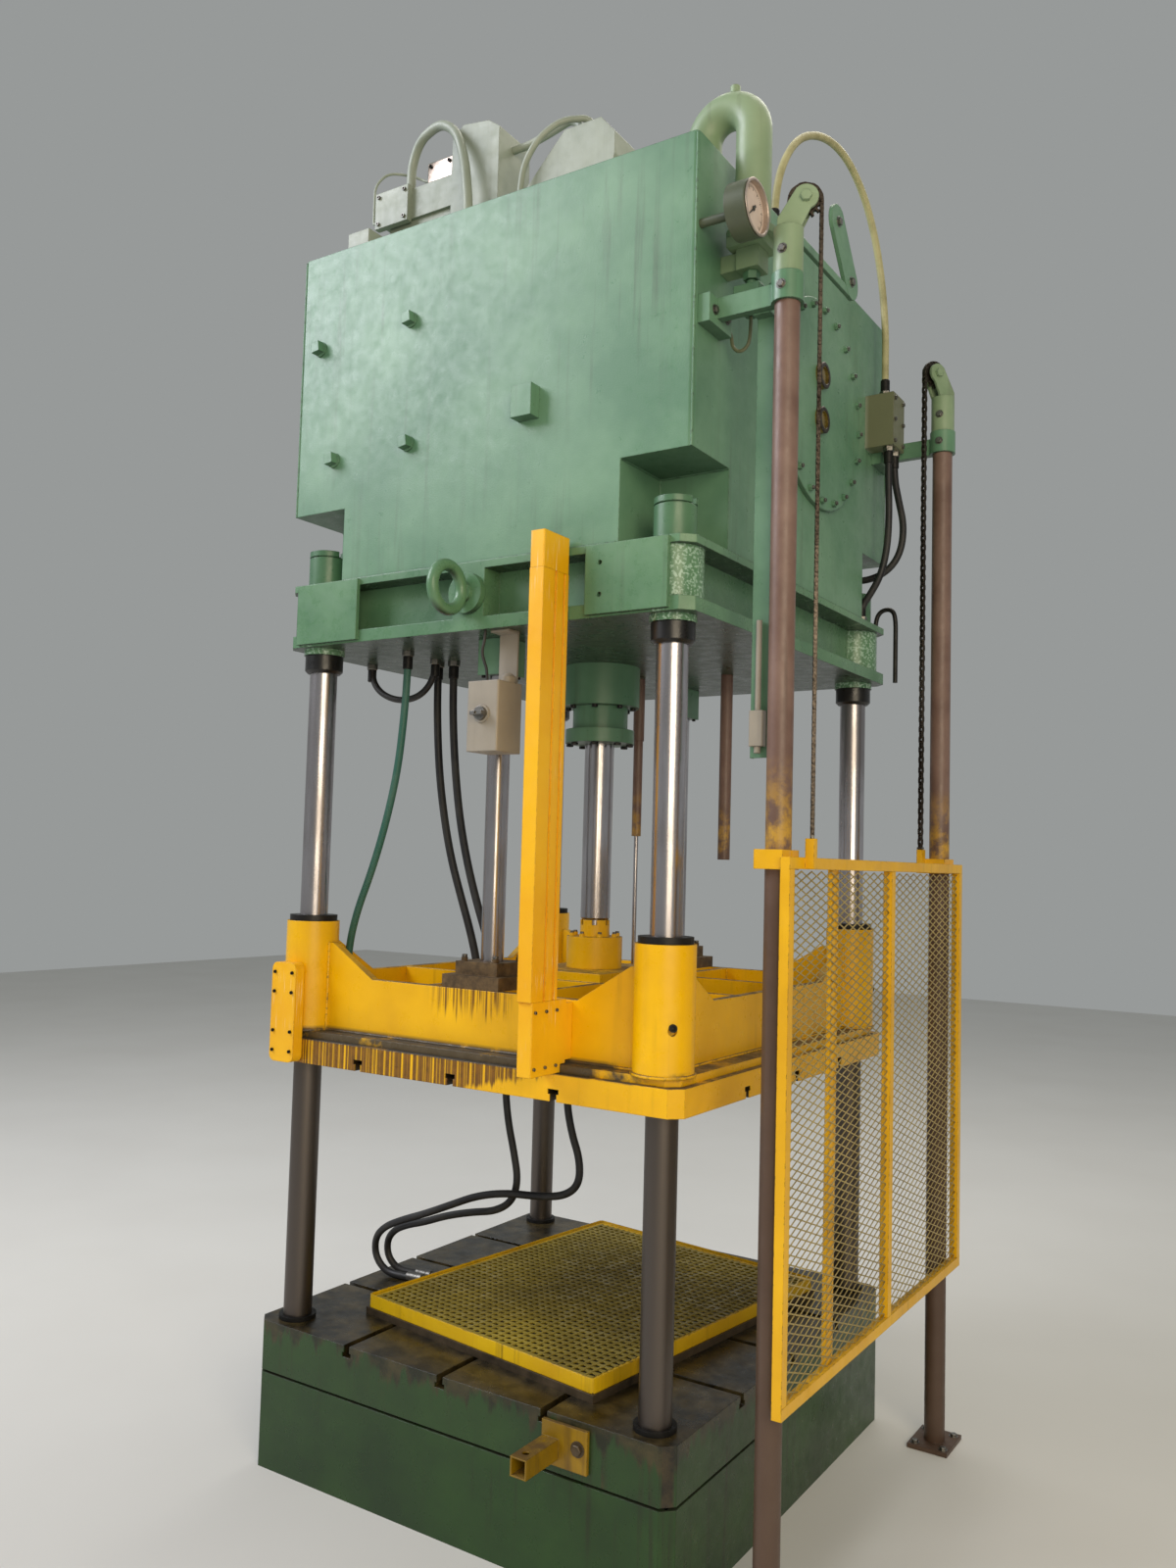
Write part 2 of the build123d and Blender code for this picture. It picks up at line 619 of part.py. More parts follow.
# Valve stack on the tank: a valve on a pedestal, a coil block and a tall manifold with a sloped cap,
# and the rear valve block on the tank's right side
stack_y = -500
pedestal_top = tank_top + 146
valve_top = pedestal_top + 95
coil_top = valve_top + 105
manifold_x = (-255, -80)
manifold_h = (336, 366, 381, 346)
rear_valve_z = tank_top - 444
rear_valve_h = 170
rear_valve_end = 760
with BuildPart() as valve_stack:
    block((-500, -260), (stack_y + 10, stack_y + 90), (tank_top, pedestal_top))
    block((-520, -240), (stack_y, stack_y + 100), (pedestal_top, valve_top))
    block((-537, -407), (stack_y - 20, stack_y), (pedestal_top - 10, valve_top + 7))
    block((-400, -300), (stack_y + 60, stack_y + 160), (valve_top, coil_top))
    with BuildSketch(Plane.XZ.offset(-stack_y)) as manifold:
        low, high = manifold_x
        Polygon((low, tank_top), (high, tank_top), (high, tank_top + manifold_h[0]),
                (high - 40, tank_top + manifold_h[1]), (low + 40, tank_top + manifold_h[2]),
                (low, tank_top + manifold_h[3]), align=None)
    extrude(manifold.sketch, amount=-150)
    block((-510, -430), (15 - tank_y, 75 - tank_y), (tank_top, tank_top + 52))
    rear_valve = (rear_valve_z, rear_valve_z + rear_valve_h)
    block((tank_x, rear_valve_end), (478, 536), rear_valve)
    block((tank_x + 37, rear_valve_end), (536, 580), rear_valve)
valve_stack.part.label = "valve_stack"
export_step(valve_stack.part, "parts/valve_stack.step")

# Pilot pump block on its foot beside the manifold
pump_top = tank_top + 251
with BuildPart() as pump_block:
    block((60, 260), (stack_y + 20, stack_y + 120), (tank_top, pump_top - 175))
    with BuildSketch(Plane.XZ.offset(-stack_y)) as body:
        Polygon((10, pump_top - 180), (300, pump_top - 180), (317, pump_top - 115), (317, pump_top - 55),
                (270, pump_top), (150, pump_top), (20, pump_top - 135), align=None)
    extrude(body.sketch, amount=-130)
pump_block.part.label = "pump_block"
export_step(pump_block.part, "parts/pump_block.step")

# Bent pipes between the units on the tank, their heights above its roof
big_arch = [(-440, stack_y + 30, 241), (-440, stack_y + 30, 336), (-400, stack_y + 20, 401),
            (-300, stack_y - 5, 411), (-215, stack_y - 30, 346), (-170, stack_y - 42, 236),
            (-150, stack_y - 45, 96), (-150, stack_y - 45, 0)]
small_arch = [(20, stack_y - 25, 0), (20, stack_y - 25, 106), (32, stack_y - 25, 176),
              (75, stack_y - 20, 241), (130, stack_y + 10, 291), (185, stack_y + 60, 306),
              (205, stack_y + 75, 281), (205, stack_y + 75, 251)]
link_pipe = [(-80, stack_y + 70, 296), (-20, stack_y + 70, 296), (60, stack_y + 70, 311),
             (125, stack_y + 70, 326), (160, stack_y + 70, 296), (160, stack_y + 70, 251)]
thin_pipe = [(-537, stack_y - 10, 161), (-552, stack_y - 10, 161), (-552, stack_y - 10, 286),
             (-530, stack_y + 20, 334), (-490, stack_y + 60, 338), (-450, stack_y + 84, 324),
             (-425, stack_y + 85, 308), (-400, stack_y + 85, 308)]
with BuildPart() as tank_pipes:
    for route, d in ((big_arch, 28), (small_arch, 18), (link_pipe, 22), (thin_pipe, 8)):
        add(pipe(over_tank(route), d))
tank_pipes.part.label = "tank_pipes"
export_step(tank_pipes.part, "parts/tank_pipes.step")

# Suction elbow from the tank's roof over its right edge to a flanged valve
elbow_d = 90
elbow_x = 603
elbow_y = -520
elbow_reach = 140
elbow_rise = 51
elbow_foot_z = tank_top - 234
valve_w = 96
valve_neck = 60
with BuildPart() as suction_elbow:
    with BuildLine() as bend:
        leg_x = elbow_x + elbow_reach
        shoulder = tank_top + elbow_rise
        Line((elbow_x, elbow_y, tank_top), (elbow_x, elbow_y, shoulder))
        crest = (elbow_x + elbow_reach / 2, elbow_y, shoulder + elbow_reach / 2)
        ThreePointArc((elbow_x, elbow_y, shoulder), crest, (leg_x, elbow_y, shoulder))
        Line((leg_x, elbow_y, shoulder), (leg_x, elbow_y, elbow_foot_z + 20))
    with BuildSketch(Plane.XY.offset(tank_top)):
        with Locations((elbow_x, elbow_y)):
            Circle(elbow_d / 2)
    sweep()
    upright([(leg_x, elbow_y)], elbow_d + 40, (elbow_foot_z, elbow_foot_z + 20))
    valve_z = elbow_foot_z - 26
    for w, z in ((valve_w, (valve_z, elbow_foot_z)), (valve_neck, (valve_z - 54, valve_z))):
        block((leg_x - w / 2, leg_x + w / 2), (elbow_y - w / 2, elbow_y + w / 2), z)
    stub_z = (elbow_foot_z - 76, elbow_foot_z - 32)
    block((tank_x, leg_x - valve_neck / 2), (elbow_y - 22, elbow_y + 22), stub_z)
    upright([(elbow_x + 90, elbow_y - 10)], 26, (shoulder + 95, shoulder + 125))
    upright([(elbow_x + 90, elbow_y - 10)], 18, (shoulder + 60, shoulder + 96))
suction_elbow.part.label = "suction_elbow"
export_step(suction_elbow.part, "parts/suction_elbow.step")

# Pressure gauge on a stub from the tank's side, its dial towards +X, with a needle on a pin
gauge_y = -650
gauge_z = tank_top - 229
gauge_back = 761
gauge_face = 815
gauge_d = 134
gauge_rim = 6
dial_x = gauge_face - 10
needle_l = 46
needle_start = 225
needle_w = 6
pin_r = 2
with BuildPart() as gauge_case:
    on_tank = Plane(origin=(tank_x, gauge_y, gauge_z), z_dir=(1, 0, 0), x_dir=(0, 1, 0))
    with BuildSketch(on_tank):
        Circle(11)
    extrude(amount=gauge_back - tank_x)
    with BuildSketch(on_tank.offset(gauge_back - tank_x)):
        Circle(gauge_d / 2)
    extrude(amount=gauge_face - gauge_back)
    fillet(gauge_case.edges().filter_by(GeomType.CIRCLE).group_by(Axis.X)[-1], 3)
    with BuildSketch(on_tank.offset(dial_x - tank_x)):
        Circle(gauge_d / 2 - gauge_rim)
    extrude(amount=gauge_face - dial_x, mode=Mode.SUBTRACT)
    with BuildSketch(on_tank.offset(dial_x - tank_x)):
        Circle(pin_r)
    extrude(amount=6)
gauge_case.part.label = "gauge_case"
export_step(gauge_case.part, "parts/gauge_case.step")

with BuildPart() as gauge_needle:
    on_dial = Plane(origin=(dial_x + 2.5, gauge_y, gauge_z), z_dir=(1, 0, 0), x_dir=(0, 1, 0))
    with BuildSketch(on_dial):
        Circle(needle_w)
        point = (cos(radians(needle_start)), sin(radians(needle_start)))
        heel = Vector(-0.3 * needle_l * point[0], -0.3 * needle_l * point[1])
        half = Vector(needle_w / 2 * point[1], -needle_w / 2 * point[0])
        Polygon(heel - half, heel + half, (needle_l * point[0], needle_l * point[1]), align=None)
        Circle(pin_r + guide_gap, mode=Mode.SUBTRACT)
    extrude(amount=1.6)
gauge_needle.part.label = "gauge_needle"
export_step(gauge_needle.part, "parts/gauge_needle.step")

# Guard tubes from foot plates on the floor to the sprockets, one at each end of the guard
tube_spots = [(tube_x, -tube_y), (tube_x, tube_y)]
foot_plate = 150
with BuildPart() as guard_tubes:
    with Locations(*[(x, y, 6) for x, y in tube_spots]):
        Box(foot_plate - 30, foot_plate, 12)
    upright(tube_spots, tube_d, (12, tube_top))
    upright(tube_spots, tube_d - 2 * tube_wall, (12, tube_top), Mode.SUBTRACT)
guard_tubes.part.label = "guard_tubes"
export_step(guard_tubes.part, "parts/guard_tubes.step")

# Arms that hold the tubes' heads to the tank, with clamp rings
arm_z = (tank_top - 460, tank_top - 408)
ring_top = tank_top - 391
ring_d = 78
pad_t = 33
with BuildPart() as tube_clamps:
    for side in (-1, 1):
        pad = sorted((side * (tube_y - 65), side * (tube_y + 53)))
        block((tank_x, tank_x + pad_t), pad, (arm_z[0] - 19, arm_z[1]))
        arm = sorted((side * (tube_y - 12), side * (tube_y + 12)))
        block((tank_x + pad_t, tube_x), arm, arm_z)
    upright(tube_spots, ring_d, (arm_z[0], ring_top))
    upright(tube_spots, tube_d + 2 * seat_gap, (arm_z[0], ring_top), Mode.SUBTRACT)
tube_clamps.part.label = "tube_clamps"
export_step(tube_clamps.part, "parts/tube_clamps.step")

# Sprocket heads: a sleeve on each tube and two plates that carry the sprocket's axle
sleeve_d = 71
sprocket_turns = [degrees(atan2(34, 67)), degrees(atan2(-66, -38))]
sprocket_spots = []
for (x, y), turn in zip(tube_spots, sprocket_turns):
    sprocket_spots.append((x + sprocket_r * cos(radians(turn)), y + sprocket_r * sin(radians(turn))))


def sprocket_plane(number, side=0):
    """The plane of one sprocket: its origin on the axle, x away from the tube, z along the axle."""
    turn = radians(sprocket_turns[number])
    x, y = sprocket_spots[number]
    across = Vector(sin(turn), -cos(turn), 0)
    centre = Vector(x, y, sprocket_z) + across * side
    return Plane(origin=centre, x_dir=(cos(turn), sin(turn), 0), z_dir=across)


with BuildPart() as sprocket_heads:
    upright(tube_spots, sleeve_d, (ring_top, tube_top + 4))
    upright(tube_spots, tube_d + 2 * seat_gap, (ring_top, tube_top), Mode.SUBTRACT)
    for number in (0, 1):
        for side in (-fork_gap / 2 - fork_t, fork_gap / 2):
            with BuildSketch(sprocket_plane(number, side)) as cheek:
                with BuildLine():
                    drop = tube_top - sprocket_z
                    low = -sprocket_r
                    Polyline((low - 28, drop), (low + 28, drop), (16, -20), (-22, 22), (low - 28, drop + 22),
                             close=True)
                make_face()
                Circle(30)
            extrude(cheek.sketch, amount=fork_t)
        with BuildSketch(sprocket_plane(number, -fork_gap / 2 - fork_t - 9)) as axle:
            Circle(axle_d / 2)
        extrude(axle.sketch, amount=fork_gap + 2 * fork_t + 18)
        for side in (-fork_gap / 2 - fork_t - 9, fork_gap / 2 + fork_t):
            with BuildSketch(sprocket_plane(number, side)) as nut:
                RegularPolygon(14, 6)
            extrude(nut.sketch, amount=9)
    upright(tube_spots, 26, (tube_top, tube_top + 5), Mode.SUBTRACT)
sprocket_heads.part.label = "sprocket_heads"
export_step(sprocket_heads.part, "parts/sprocket_heads.step")

# Sprockets: fifteen teeth, each gap a roller seat on the pitch circle
end_names = ["front", "rear"]
for number, name in enumerate(end_names):
    with BuildPart() as sprocket:
        with BuildSketch(sprocket_plane(number, -sprocket_t / 2)):
            Circle(sprocket_r + 4.5)
            with PolarLocations(sprocket_r, sprocket_teeth, start_angle=90):
                Circle(roller_r + 0.3, mode=Mode.SUBTRACT)
            with PolarLocations(sprocket_r + 6, sprocket_teeth, start_angle=90):
                Rectangle(12, 2 * roller_r + 0.6, mode=Mode.SUBTRACT)
        extrude(amount=sprocket_t)
        with BuildSketch(sprocket_plane(number, -sprocket_hub_w / 2)):
            Circle(sprocket_hub_d / 2)
        extrude(amount=sprocket_hub_w)
        with BuildSketch(sprocket_plane(number, -sprocket_hub_w / 2)):
            Circle(axle_d / 2 + guide_gap)
        extrude(amount=sprocket_hub_w, mode=Mode.SUBTRACT)
    sprocket.part.label = f"sprocket_{name}"
    export_step(sprocket.part, f"parts/sprocket_{name}.step")

# Chain: side plates round each sprocket's head, and a short run into each tube to the counterweight
link_h = 14
link_w = (14, 9.4)


def link_plates(number, spots):
    """Pairs of side plates that straddle the sprocket, at each (x, y, turn) in its plane."""
    for k, (x, y, turn) in enumerate(spots):
        out = sprocket_t / 2 + 1.4 + 2 * (k % 2)
        with Locations(sprocket_plane(number) * Location((x, y, 0), (0, 0, turn))):
            with Locations((0, 0, -out), (0, 0, out)):
                Box(link_h - 2, chain_pitch - 0.3, 1.8)


def links(number, start_x, count):
    """Links that hang straight down from the side of one sprocket, the first two as side plates."""
    link_plates(number, [(start_x, -(k + 0.5) * chain_pitch, 0) for k in (0, 1)])
    for kind in (0, 1):
        drops = [-(k + 0.5) * chain_pitch for k in range(kind + 2, count, 2)]
        with Locations(*[sprocket_plane(number) * Location((start_x, drop, 0)) for drop in drops]):
            Box(link_h - 4 * kind, chain_pitch - 0.3, link_w[kind])


with BuildPart() as chain_heads:
    for number in (0, 1):
        links(number, -sprocket_r, weight_links)
        angles = [15 + 25 * k for k in range(7)]
        around = [(sprocket_r * cos(radians(a)), sprocket_r * sin(radians(a)), a) for a in angles]
        link_plates(number, around)
chain_heads.part.label = "chain_heads"
export_step(chain_heads.part, "parts/chain_heads.step")

guard_links = int((sprocket_z - guard_top - guard_lug_h) / chain_pitch)
with BuildPart() as guard_chains:
    for number in (0, 1):
        links(number, sprocket_r, guard_links)
guard_chains.part.label = "guard_chains"
export_step(guard_chains.part, "parts/guard_chains.step")
chain_end_z = sprocket_z - guard_links * chain_pitch
weight_top = sprocket_z - weight_links * chain_pitch

# Counterweights that run inside the tubes
for name, spot in zip(end_names, tube_spots):
    with BuildPart() as counterweight:
        upright([spot], weight_d, (weight_top - weight_l, weight_top))
        chamfer(counterweight.edges().filter_by(GeomType.CIRCLE), 4)
    counterweight.part.label = f"counterweight_{name}"
    export_step(counterweight.part, f"parts/counterweight_{name}.step")

# Guard: a welded frame of square bar, with collars that slide on the tubes
bar = guard_bar / 2
guard_face = guard_x + guard_depth / 2
guard_back = guard_x - guard_depth / 2
with BuildPart() as guard_frame:
    depth = (guard_back, guard_face)
    for y in (-guard_half_y, guard_half_y, guard_mid_y):
        block(depth, (y - bar, y + bar), (guard_bottom, guard_top))
    strut = (guard_strut_y - guard_strut_w / 2, guard_strut_y + guard_strut_w / 2)
    block((guard_back, guard_x), strut, (guard_bottom, guard_top))
    for z in (guard_bottom, guard_top):
        block(depth, (-guard_half_y - bar, guard_half_y + bar), (z - bar, z + bar))
    front_lug = sprocket_plane(0).from_local_coords(Vector(sprocket_r, 0, 0))
    block((guard_face, front_lug.X + 9), (front_lug.Y - 9, front_lug.Y + 9), (guard_top - bar, chain_end_z))
guard_frame.part.label = "guard_frame"
export_step(guard_frame.part, "parts/guard_frame.step")

# Mesh panels inside the frame: a sheet with staggered diamond openings
mesh_pitch_y = 106
mesh_pitch_z = 146
strand = 9
panels = [(-guard_half_y + bar, guard_mid_y - bar), (guard_mid_y + bar, guard_half_y - bar)]
panel_z = (guard_bottom + bar, guard_top - bar)
mesh_plane = Plane(origin=(guard_x + 2, 0, 0), x_dir=(0, 1, 0), z_dir=(1, 0, 0))
half_y = mesh_pitch_y / 2 - strand
half_z = mesh_pitch_z / 2 - strand * mesh_pitch_z / mesh_pitch_y
with BuildPart() as guard_mesh:
    for low, high in panels:
        across = int((high - low) / mesh_pitch_y)
        down = int((panel_z[1] - panel_z[0]) / mesh_pitch_z)
        with BuildSketch(mesh_plane) as sheet:
            with Locations(((low + high) / 2, (panel_z[0] + panel_z[1]) / 2)):
                Rectangle(high - low, panel_z[1] - panel_z[0])
                for fewer in (0, 1):
                    with GridLocations(mesh_pitch_y, mesh_pitch_z, across - fewer, down - fewer):
                        Polygon((-half_y, 0), (0, -half_z), (half_y, 0), (0, half_z), mode=Mode.SUBTRACT)
        extrude(sheet.sketch, amount=3)
guard_mesh.part.label = "guard_mesh"
export_step(guard_mesh.part, "parts/guard_mesh.step")

# Collars that carry the guard on its tubes, the rear one with the lug for its chain
collar_z = (guard_top - collar_h + bar + 16, guard_top + bar + 16)
with BuildPart() as guard_collars:
    for side in (-1, 1):
        reach = sorted((side * (tube_y - 46), side * (tube_y + 46)))
        block((tube_x - 40, guard_back), reach, collar_z)
    rear_lug = sprocket_plane(1).from_local_coords(Vector(sprocket_r, 0, 0))
    block((rear_lug.X - 9, rear_lug.X + 9), (rear_lug.Y - 9, tube_y - 46), (collar_z[0], chain_end_z))
    upright(tube_spots, tube_d + 2 * guide_gap, collar_z, Mode.SUBTRACT)
guard_collars.part.label = "guard_collars"
export_step(guard_collars.part, "parts/guard_collars.step")

# Cable channel beside the front tube, hung from the clamp arm, and the limit switch at its foot
channel_x = (786, 830)
channel_y = -tube_y + 34
channel_z = (1975, arm_z[0])
switch_z = (2001, 2085)
with BuildPart() as cable_channel:
    block(channel_x, (channel_y, channel_y + 16), channel_z)
    block((channel_x[0] + 3, channel_x[1] - 3), (channel_y + 3, channel_y + 16), channel_z, Mode.SUBTRACT)
    block(channel_x, (channel_y - 26, channel_y), (channel_z[1] - 4, channel_z[1]))
cable_channel.part.label = "cable_channel"
export_step(cable_channel.part, "parts/cable_channel.step")

with BuildPart() as limit_switch:
    block((channel_x[0] + 6, channel_x[1] - 2), (channel_y - 24, channel_y), switch_z)
    fillet(limit_switch.edges().filter_by(Axis.Z), 4)
    upright([(channel_x[0] + 24, channel_y - 12)], 16, (switch_z[0] - 16, switch_z[0]))
    upright([(channel_x[0] + 24, channel_y - 12)], 14, (switch_z[1], switch_z[1] + 215))
limit_switch.part.label = "limit_switch"
export_step(limit_switch.part, "parts/limit_switch.step")

# Control box on a strap under the crown, with a rotary switch and a dome lamp
box_x = (48, 148)
box_y = (-720, -615)
box_z = (1997, 2180)
box_strap = 6
strap_reach = 40
knob_z = 2094
spindle_d = 8
dial_t = 4
knob_gap = 0.3
lamp_d = 44
lamp_h = 18
with BuildPart() as control_box:
    block(box_x, box_y, box_z)
    fillet(control_box.edges().filter_by(Axis.Z), 5)
    strap_x = (box_x[0] + 20, box_x[1] - 20)
    strap_back = box_y[1] + box_strap
    block(strap_x, (box_y[1], strap_back), (box_z[0] + 30, crown_z))
    block(strap_x, (box_y[1] - strap_reach, strap_back), (crown_z - box_strap, crown_z))
    middle_x = (box_x[0] + box_x[1]) / 2
    with Locations(Plane(origin=(middle_x, box_y[0], knob_z), z_dir=(0, -1, 0))):
        Cylinder(24, dial_t, align=(Align.CENTER, Align.CENTER, Align.MIN))
        Cylinder(spindle_d / 2, 24, align=(Align.CENTER, Align.CENTER, Align.MIN))
    lamp_spot = (box_x[1] - lamp_d / 2 - 4, box_y[1] - 30)
    upright([lamp_spot], lamp_d, (box_z[1], box_z[1] + lamp_h))
    with Locations((lamp_spot[0], lamp_spot[1], box_z[1] + lamp_h)):
        Sphere(lamp_d / 2, arc_size1=0)
control_box.part.label = "control_box"
export_step(control_box.part, "parts/control_box.step")

with BuildPart() as rotary_switch:
    with Locations(Plane(origin=(middle_x, box_y[0] - dial_t - knob_gap, knob_z), z_dir=(0, -1, 0))):
        Cylinder(18, 9, align=(Align.CENTER, Align.CENTER, Align.MIN))
        Box(10, 38, 24, align=(Align.CENTER, Align.CENTER, Align.MIN))
        Cylinder(spindle_d / 2 + guide_gap, 26, align=(Align.CENTER, Align.CENTER, Align.MIN), mode=Mode.SUBTRACT)
rotary_switch.part.label = "rotary_switch"
export_step(rotary_switch.part, "parts/rotary_switch.step")

# Ribbed upright on the platen's front, with its caps and a spacer to the web
post_x = (290, 332)
post_y = (-794, -684)
post_z = (1380, 2437)
post_grooves = (-740, -702)
with BuildPart() as ribbed_post:
    block(post_x, post_y, post_z)
    for y in post_grooves:
        block((post_x[1] - 6, post_x[1]), (y - 4, y + 4), post_z, Mode.SUBTRACT)
ribbed_post.part.label = "ribbed_post"
export_step(ribbed_post.part, "parts/ribbed_post.step")

cap_y = (post_y[0] + 6, -640)
with BuildPart() as post_caps:
    block(post_x, (cap_y[0], -deck_y + sole_inset - 1), (platen_top + 2, post_z[0]))
    block(post_x, (-deck_y + sole_inset - 1, cap_y[1]), (sole_top + 2, post_z[0]))
    block(post_x, (cap_y[1], -web_y), (sole_top + 10, web_top - 5))
    block(post_x, (post_y[0], post_y[1]), (post_z[1], 2530))
    fillet(post_caps.edges().filter_by(Axis.Z), 3)
post_caps.part.label = "post_caps"
export_step(post_caps.part, "parts/post_caps.step")

# Box-shaped bracket on the platen's left front edge
bracket_h = 283
with BuildPart() as left_bracket:
    with BuildSketch(Plane.XZ.offset(deck_y)):
        with Locations((-588, platen_z + bracket_h / 2)):
            RectangleRounded(94, bracket_h - 4, 20)
    extrude(amount=34)
left_bracket.part.label = "left_bracket"
export_step(left_bracket.part, "parts/left_bracket.step")

# Stroke rod in a stepped tube hung from the crown, with a hole for it in the platen, and a spare tube
stroke_tube_l = 514
spare_tube_l = 584
with BuildPart() as hanging_tubes:
    upright([stroke_spot], 36, (crown_z - 204, crown_z))
    upright([stroke_spot], 30, (crown_z - stroke_tube_l, crown_z - 204))
    upright([stroke_spot], stroke_rod_d + 2 * seat_gap, (crown_z - stroke_tube_l, crown_z), Mode.SUBTRACT)
    upright([spare_spot], 38, (crown_z - spare_tube_l, crown_z))
hanging_tubes.part.label = "hanging_tubes"
export_step(hanging_tubes.part, "parts/hanging_tubes.step")

with BuildPart() as stroke_rod:
    upright([stroke_spot], stroke_rod_d, (sole_top + 20, crown_z))
stroke_rod.part.label = "stroke_rod"
export_step(stroke_rod.part, "parts/stroke_rod.step")

# Hoses. Each route is chosen by hand from where the hose hangs, in millimetres.
# Green hose from the crown's sole down to the left web
green_route = [(-356, -500, crown_z), (-356, -500, 2240), (-364, -500, 2120), (-378, -500, 1990),
               (-402, -500, 1880), (-434, -500, 1770), (-476, -498, 1660), (-522, -496, 1560),
               (-550, -495, 1460), (-554, -494, 1360), (-554, -494.5, 1290), (-554, -494.5, sole_top)]
green_hose = pipe(green_route, 22)
green_hose.label = "green_hose"
export_step(green_hose, "parts/green_hose.step")

# Two black hoses from the crown's sole into the platen's left pocket
black_routes = [
    [(-408, -300, crown_z), (-408, -300, 2220), (-402, -299, 2100), (-390, -297, 1970),
     (-368, -294, 1840), (-338, -292, 1720), (-298, -290, 1610), (-254, -290, 1500),
     (-222, -292, 1400), (-212, -294, 1310), (-212, -294, sole_top)],
    [(-346, -300, crown_z), (-346, -300, 2220), (-338, -301, 2100), (-322, -303, 1970),
     (-298, -306, 1840), (-264, -310, 1720), (-222, -316, 1610), (-172, -322, 1500),
     (-130, -328, 1400), (-110, -330, 1310), (-110, -330, sole_top)],
]
with BuildPart() as black_hoses:
    for route in black_routes:
        add(pipe(route, 24))
black_hoses.part.label = "black_hoses"
export_step(black_hoses.part, "parts/black_hoses.step")

# Hose that hangs in a loop under the crown
loop_route = [(-636, -350, crown_z), (-636, -350, 2282), (-606, -350.5, 2240), (-556, -351, 2214),
              (-500, -351, 2204), (-444, -351, 2212), (-404, -350.5, 2238), (-378, -350, 2282),
              (-378, -350, crown_z)]
crown_hose = pipe(loop_route, 20)
crown_hose.label = "crown_hose"
export_step(crown_hose, "parts/crown_hose.step")

# Hoses behind the right side: from the rear valve block down to the crown and into the tank's notch
rear_routes = [
    [(738, 500, rear_valve_z), (738, 500, 2960), (742, 500, 2850), (738, 500, 2740), (718, 500, 2650),
     (680, 504, 2590), (652, 506, 2555), (652, 506, crown_top)],
    [(736, 560, rear_valve_z), (736, 560, 2980), (752, 560, 2900), (770, 559, 2820), (764, 557, 2740),
     (734, 552, 2684), (680, 546, 2652), (610, 542, 2648), (540, 540, 2648), (tank_x - notch, 540, 2648)],
]
with BuildPart() as rear_hoses:
    for route in rear_routes:
        add(pipe(route, 22))
rear_hoses.part.label = "rear_hoses"
export_step(rear_hoses.part, "parts/rear_hoses.step")

# Pale hose that rises from the tank's roof and loops over to the rear valve block
cream_route = [(630, -150, tank_top), (630, -150, 3600), (646, -130, 3710), (664, -60, 3810),
               (684, 60, 3870), (698, 200, 3880), (708, 330, 3820), (714, 420, 3720),
               (718, 480, 3590), (720, 510, 3450), (720, 512, 3340), (720, 512, rear_valve_z + rear_valve_h)]
cream_hose = pipe(cream_route, 22)
cream_hose.label = "cream_hose"
export_step(cream_hose, "parts/cream_hose.step")

# Two hoses from under the platen that loop over the table's left side and end on the table
floor_z = table_top + 11.5
table_routes = [
    [(60, -222, platen_z), (60, -222, 1040), (80, -222, 950), (112, -222, 876), (112, -222, 806),
     (62, -222, 766), (-30, -222, 750), (-140, -222, 742), (-250, -222, 716), (-350, -222, 672),
     (-450, -221, 628), (-550, -218, 590), (-622, -214, 556), (-664, -208, 512), (-664, -202, 452),
     (-620, -196, floor_z), (-556, -191, floor_z), (-490, -187, floor_z)],
    [(-190, -180, platen_z), (-190, -180, 1040), (-176, -180, 940), (-150, -180, 850), (-132, -180, 770),
     (-152, -180, 706), (-212, -180, 668), (-300, -180, 650), (-400, -180, 622), (-490, -178, 586),
     (-556, -175, 566), (-614, -171, 540), (-650, -166, 500), (-650, -160, 446), (-610, -154, floor_z),
     (-550, -149, floor_z), (-488, -145, floor_z)],
]
with BuildPart() as table_hoses:
    for route in table_routes:
        add(pipe(route, 22))
table_hoses.part.label = "table_hoses"
export_step(table_hoses.part, "parts/table_hoses.step")

# Cable from the control box up to the crown's sole
box_cable_route = [(66, -662, box_z[1]), (66, -662, 2216), (54, -664, 2244), (48, -666, 2270),
                   (56, -664, 2296), (56, -664, crown_z)]
box_cable = pipe(box_cable_route, 8)
box_cable.label = "box_cable"
export_step(box_cable, "parts/box_cable.step")
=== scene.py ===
from math import atan2, cos, pi, radians, sin

import bmesh
import bpy
import numpy as np
from mathutils import Matrix, Vector


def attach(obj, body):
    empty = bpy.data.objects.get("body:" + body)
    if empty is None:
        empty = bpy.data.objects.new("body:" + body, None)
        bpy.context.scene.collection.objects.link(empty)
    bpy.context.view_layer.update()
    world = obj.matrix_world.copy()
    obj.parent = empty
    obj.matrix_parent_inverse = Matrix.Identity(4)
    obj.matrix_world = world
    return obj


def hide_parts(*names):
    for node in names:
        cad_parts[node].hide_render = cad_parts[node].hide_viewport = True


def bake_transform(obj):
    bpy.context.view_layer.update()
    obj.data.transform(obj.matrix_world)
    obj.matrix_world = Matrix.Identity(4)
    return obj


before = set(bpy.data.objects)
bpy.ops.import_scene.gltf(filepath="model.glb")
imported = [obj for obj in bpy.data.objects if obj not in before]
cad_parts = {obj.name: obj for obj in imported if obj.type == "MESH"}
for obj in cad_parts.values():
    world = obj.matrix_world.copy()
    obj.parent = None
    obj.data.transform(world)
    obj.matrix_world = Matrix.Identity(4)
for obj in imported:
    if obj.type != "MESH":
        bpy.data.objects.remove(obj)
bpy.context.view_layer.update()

column_x, column_y = 0.59, 0.605
columns = [(x, y) for y in (-column_y, column_y) for x in (-column_x, column_x)]
finishes, finish_slot = {}, {}


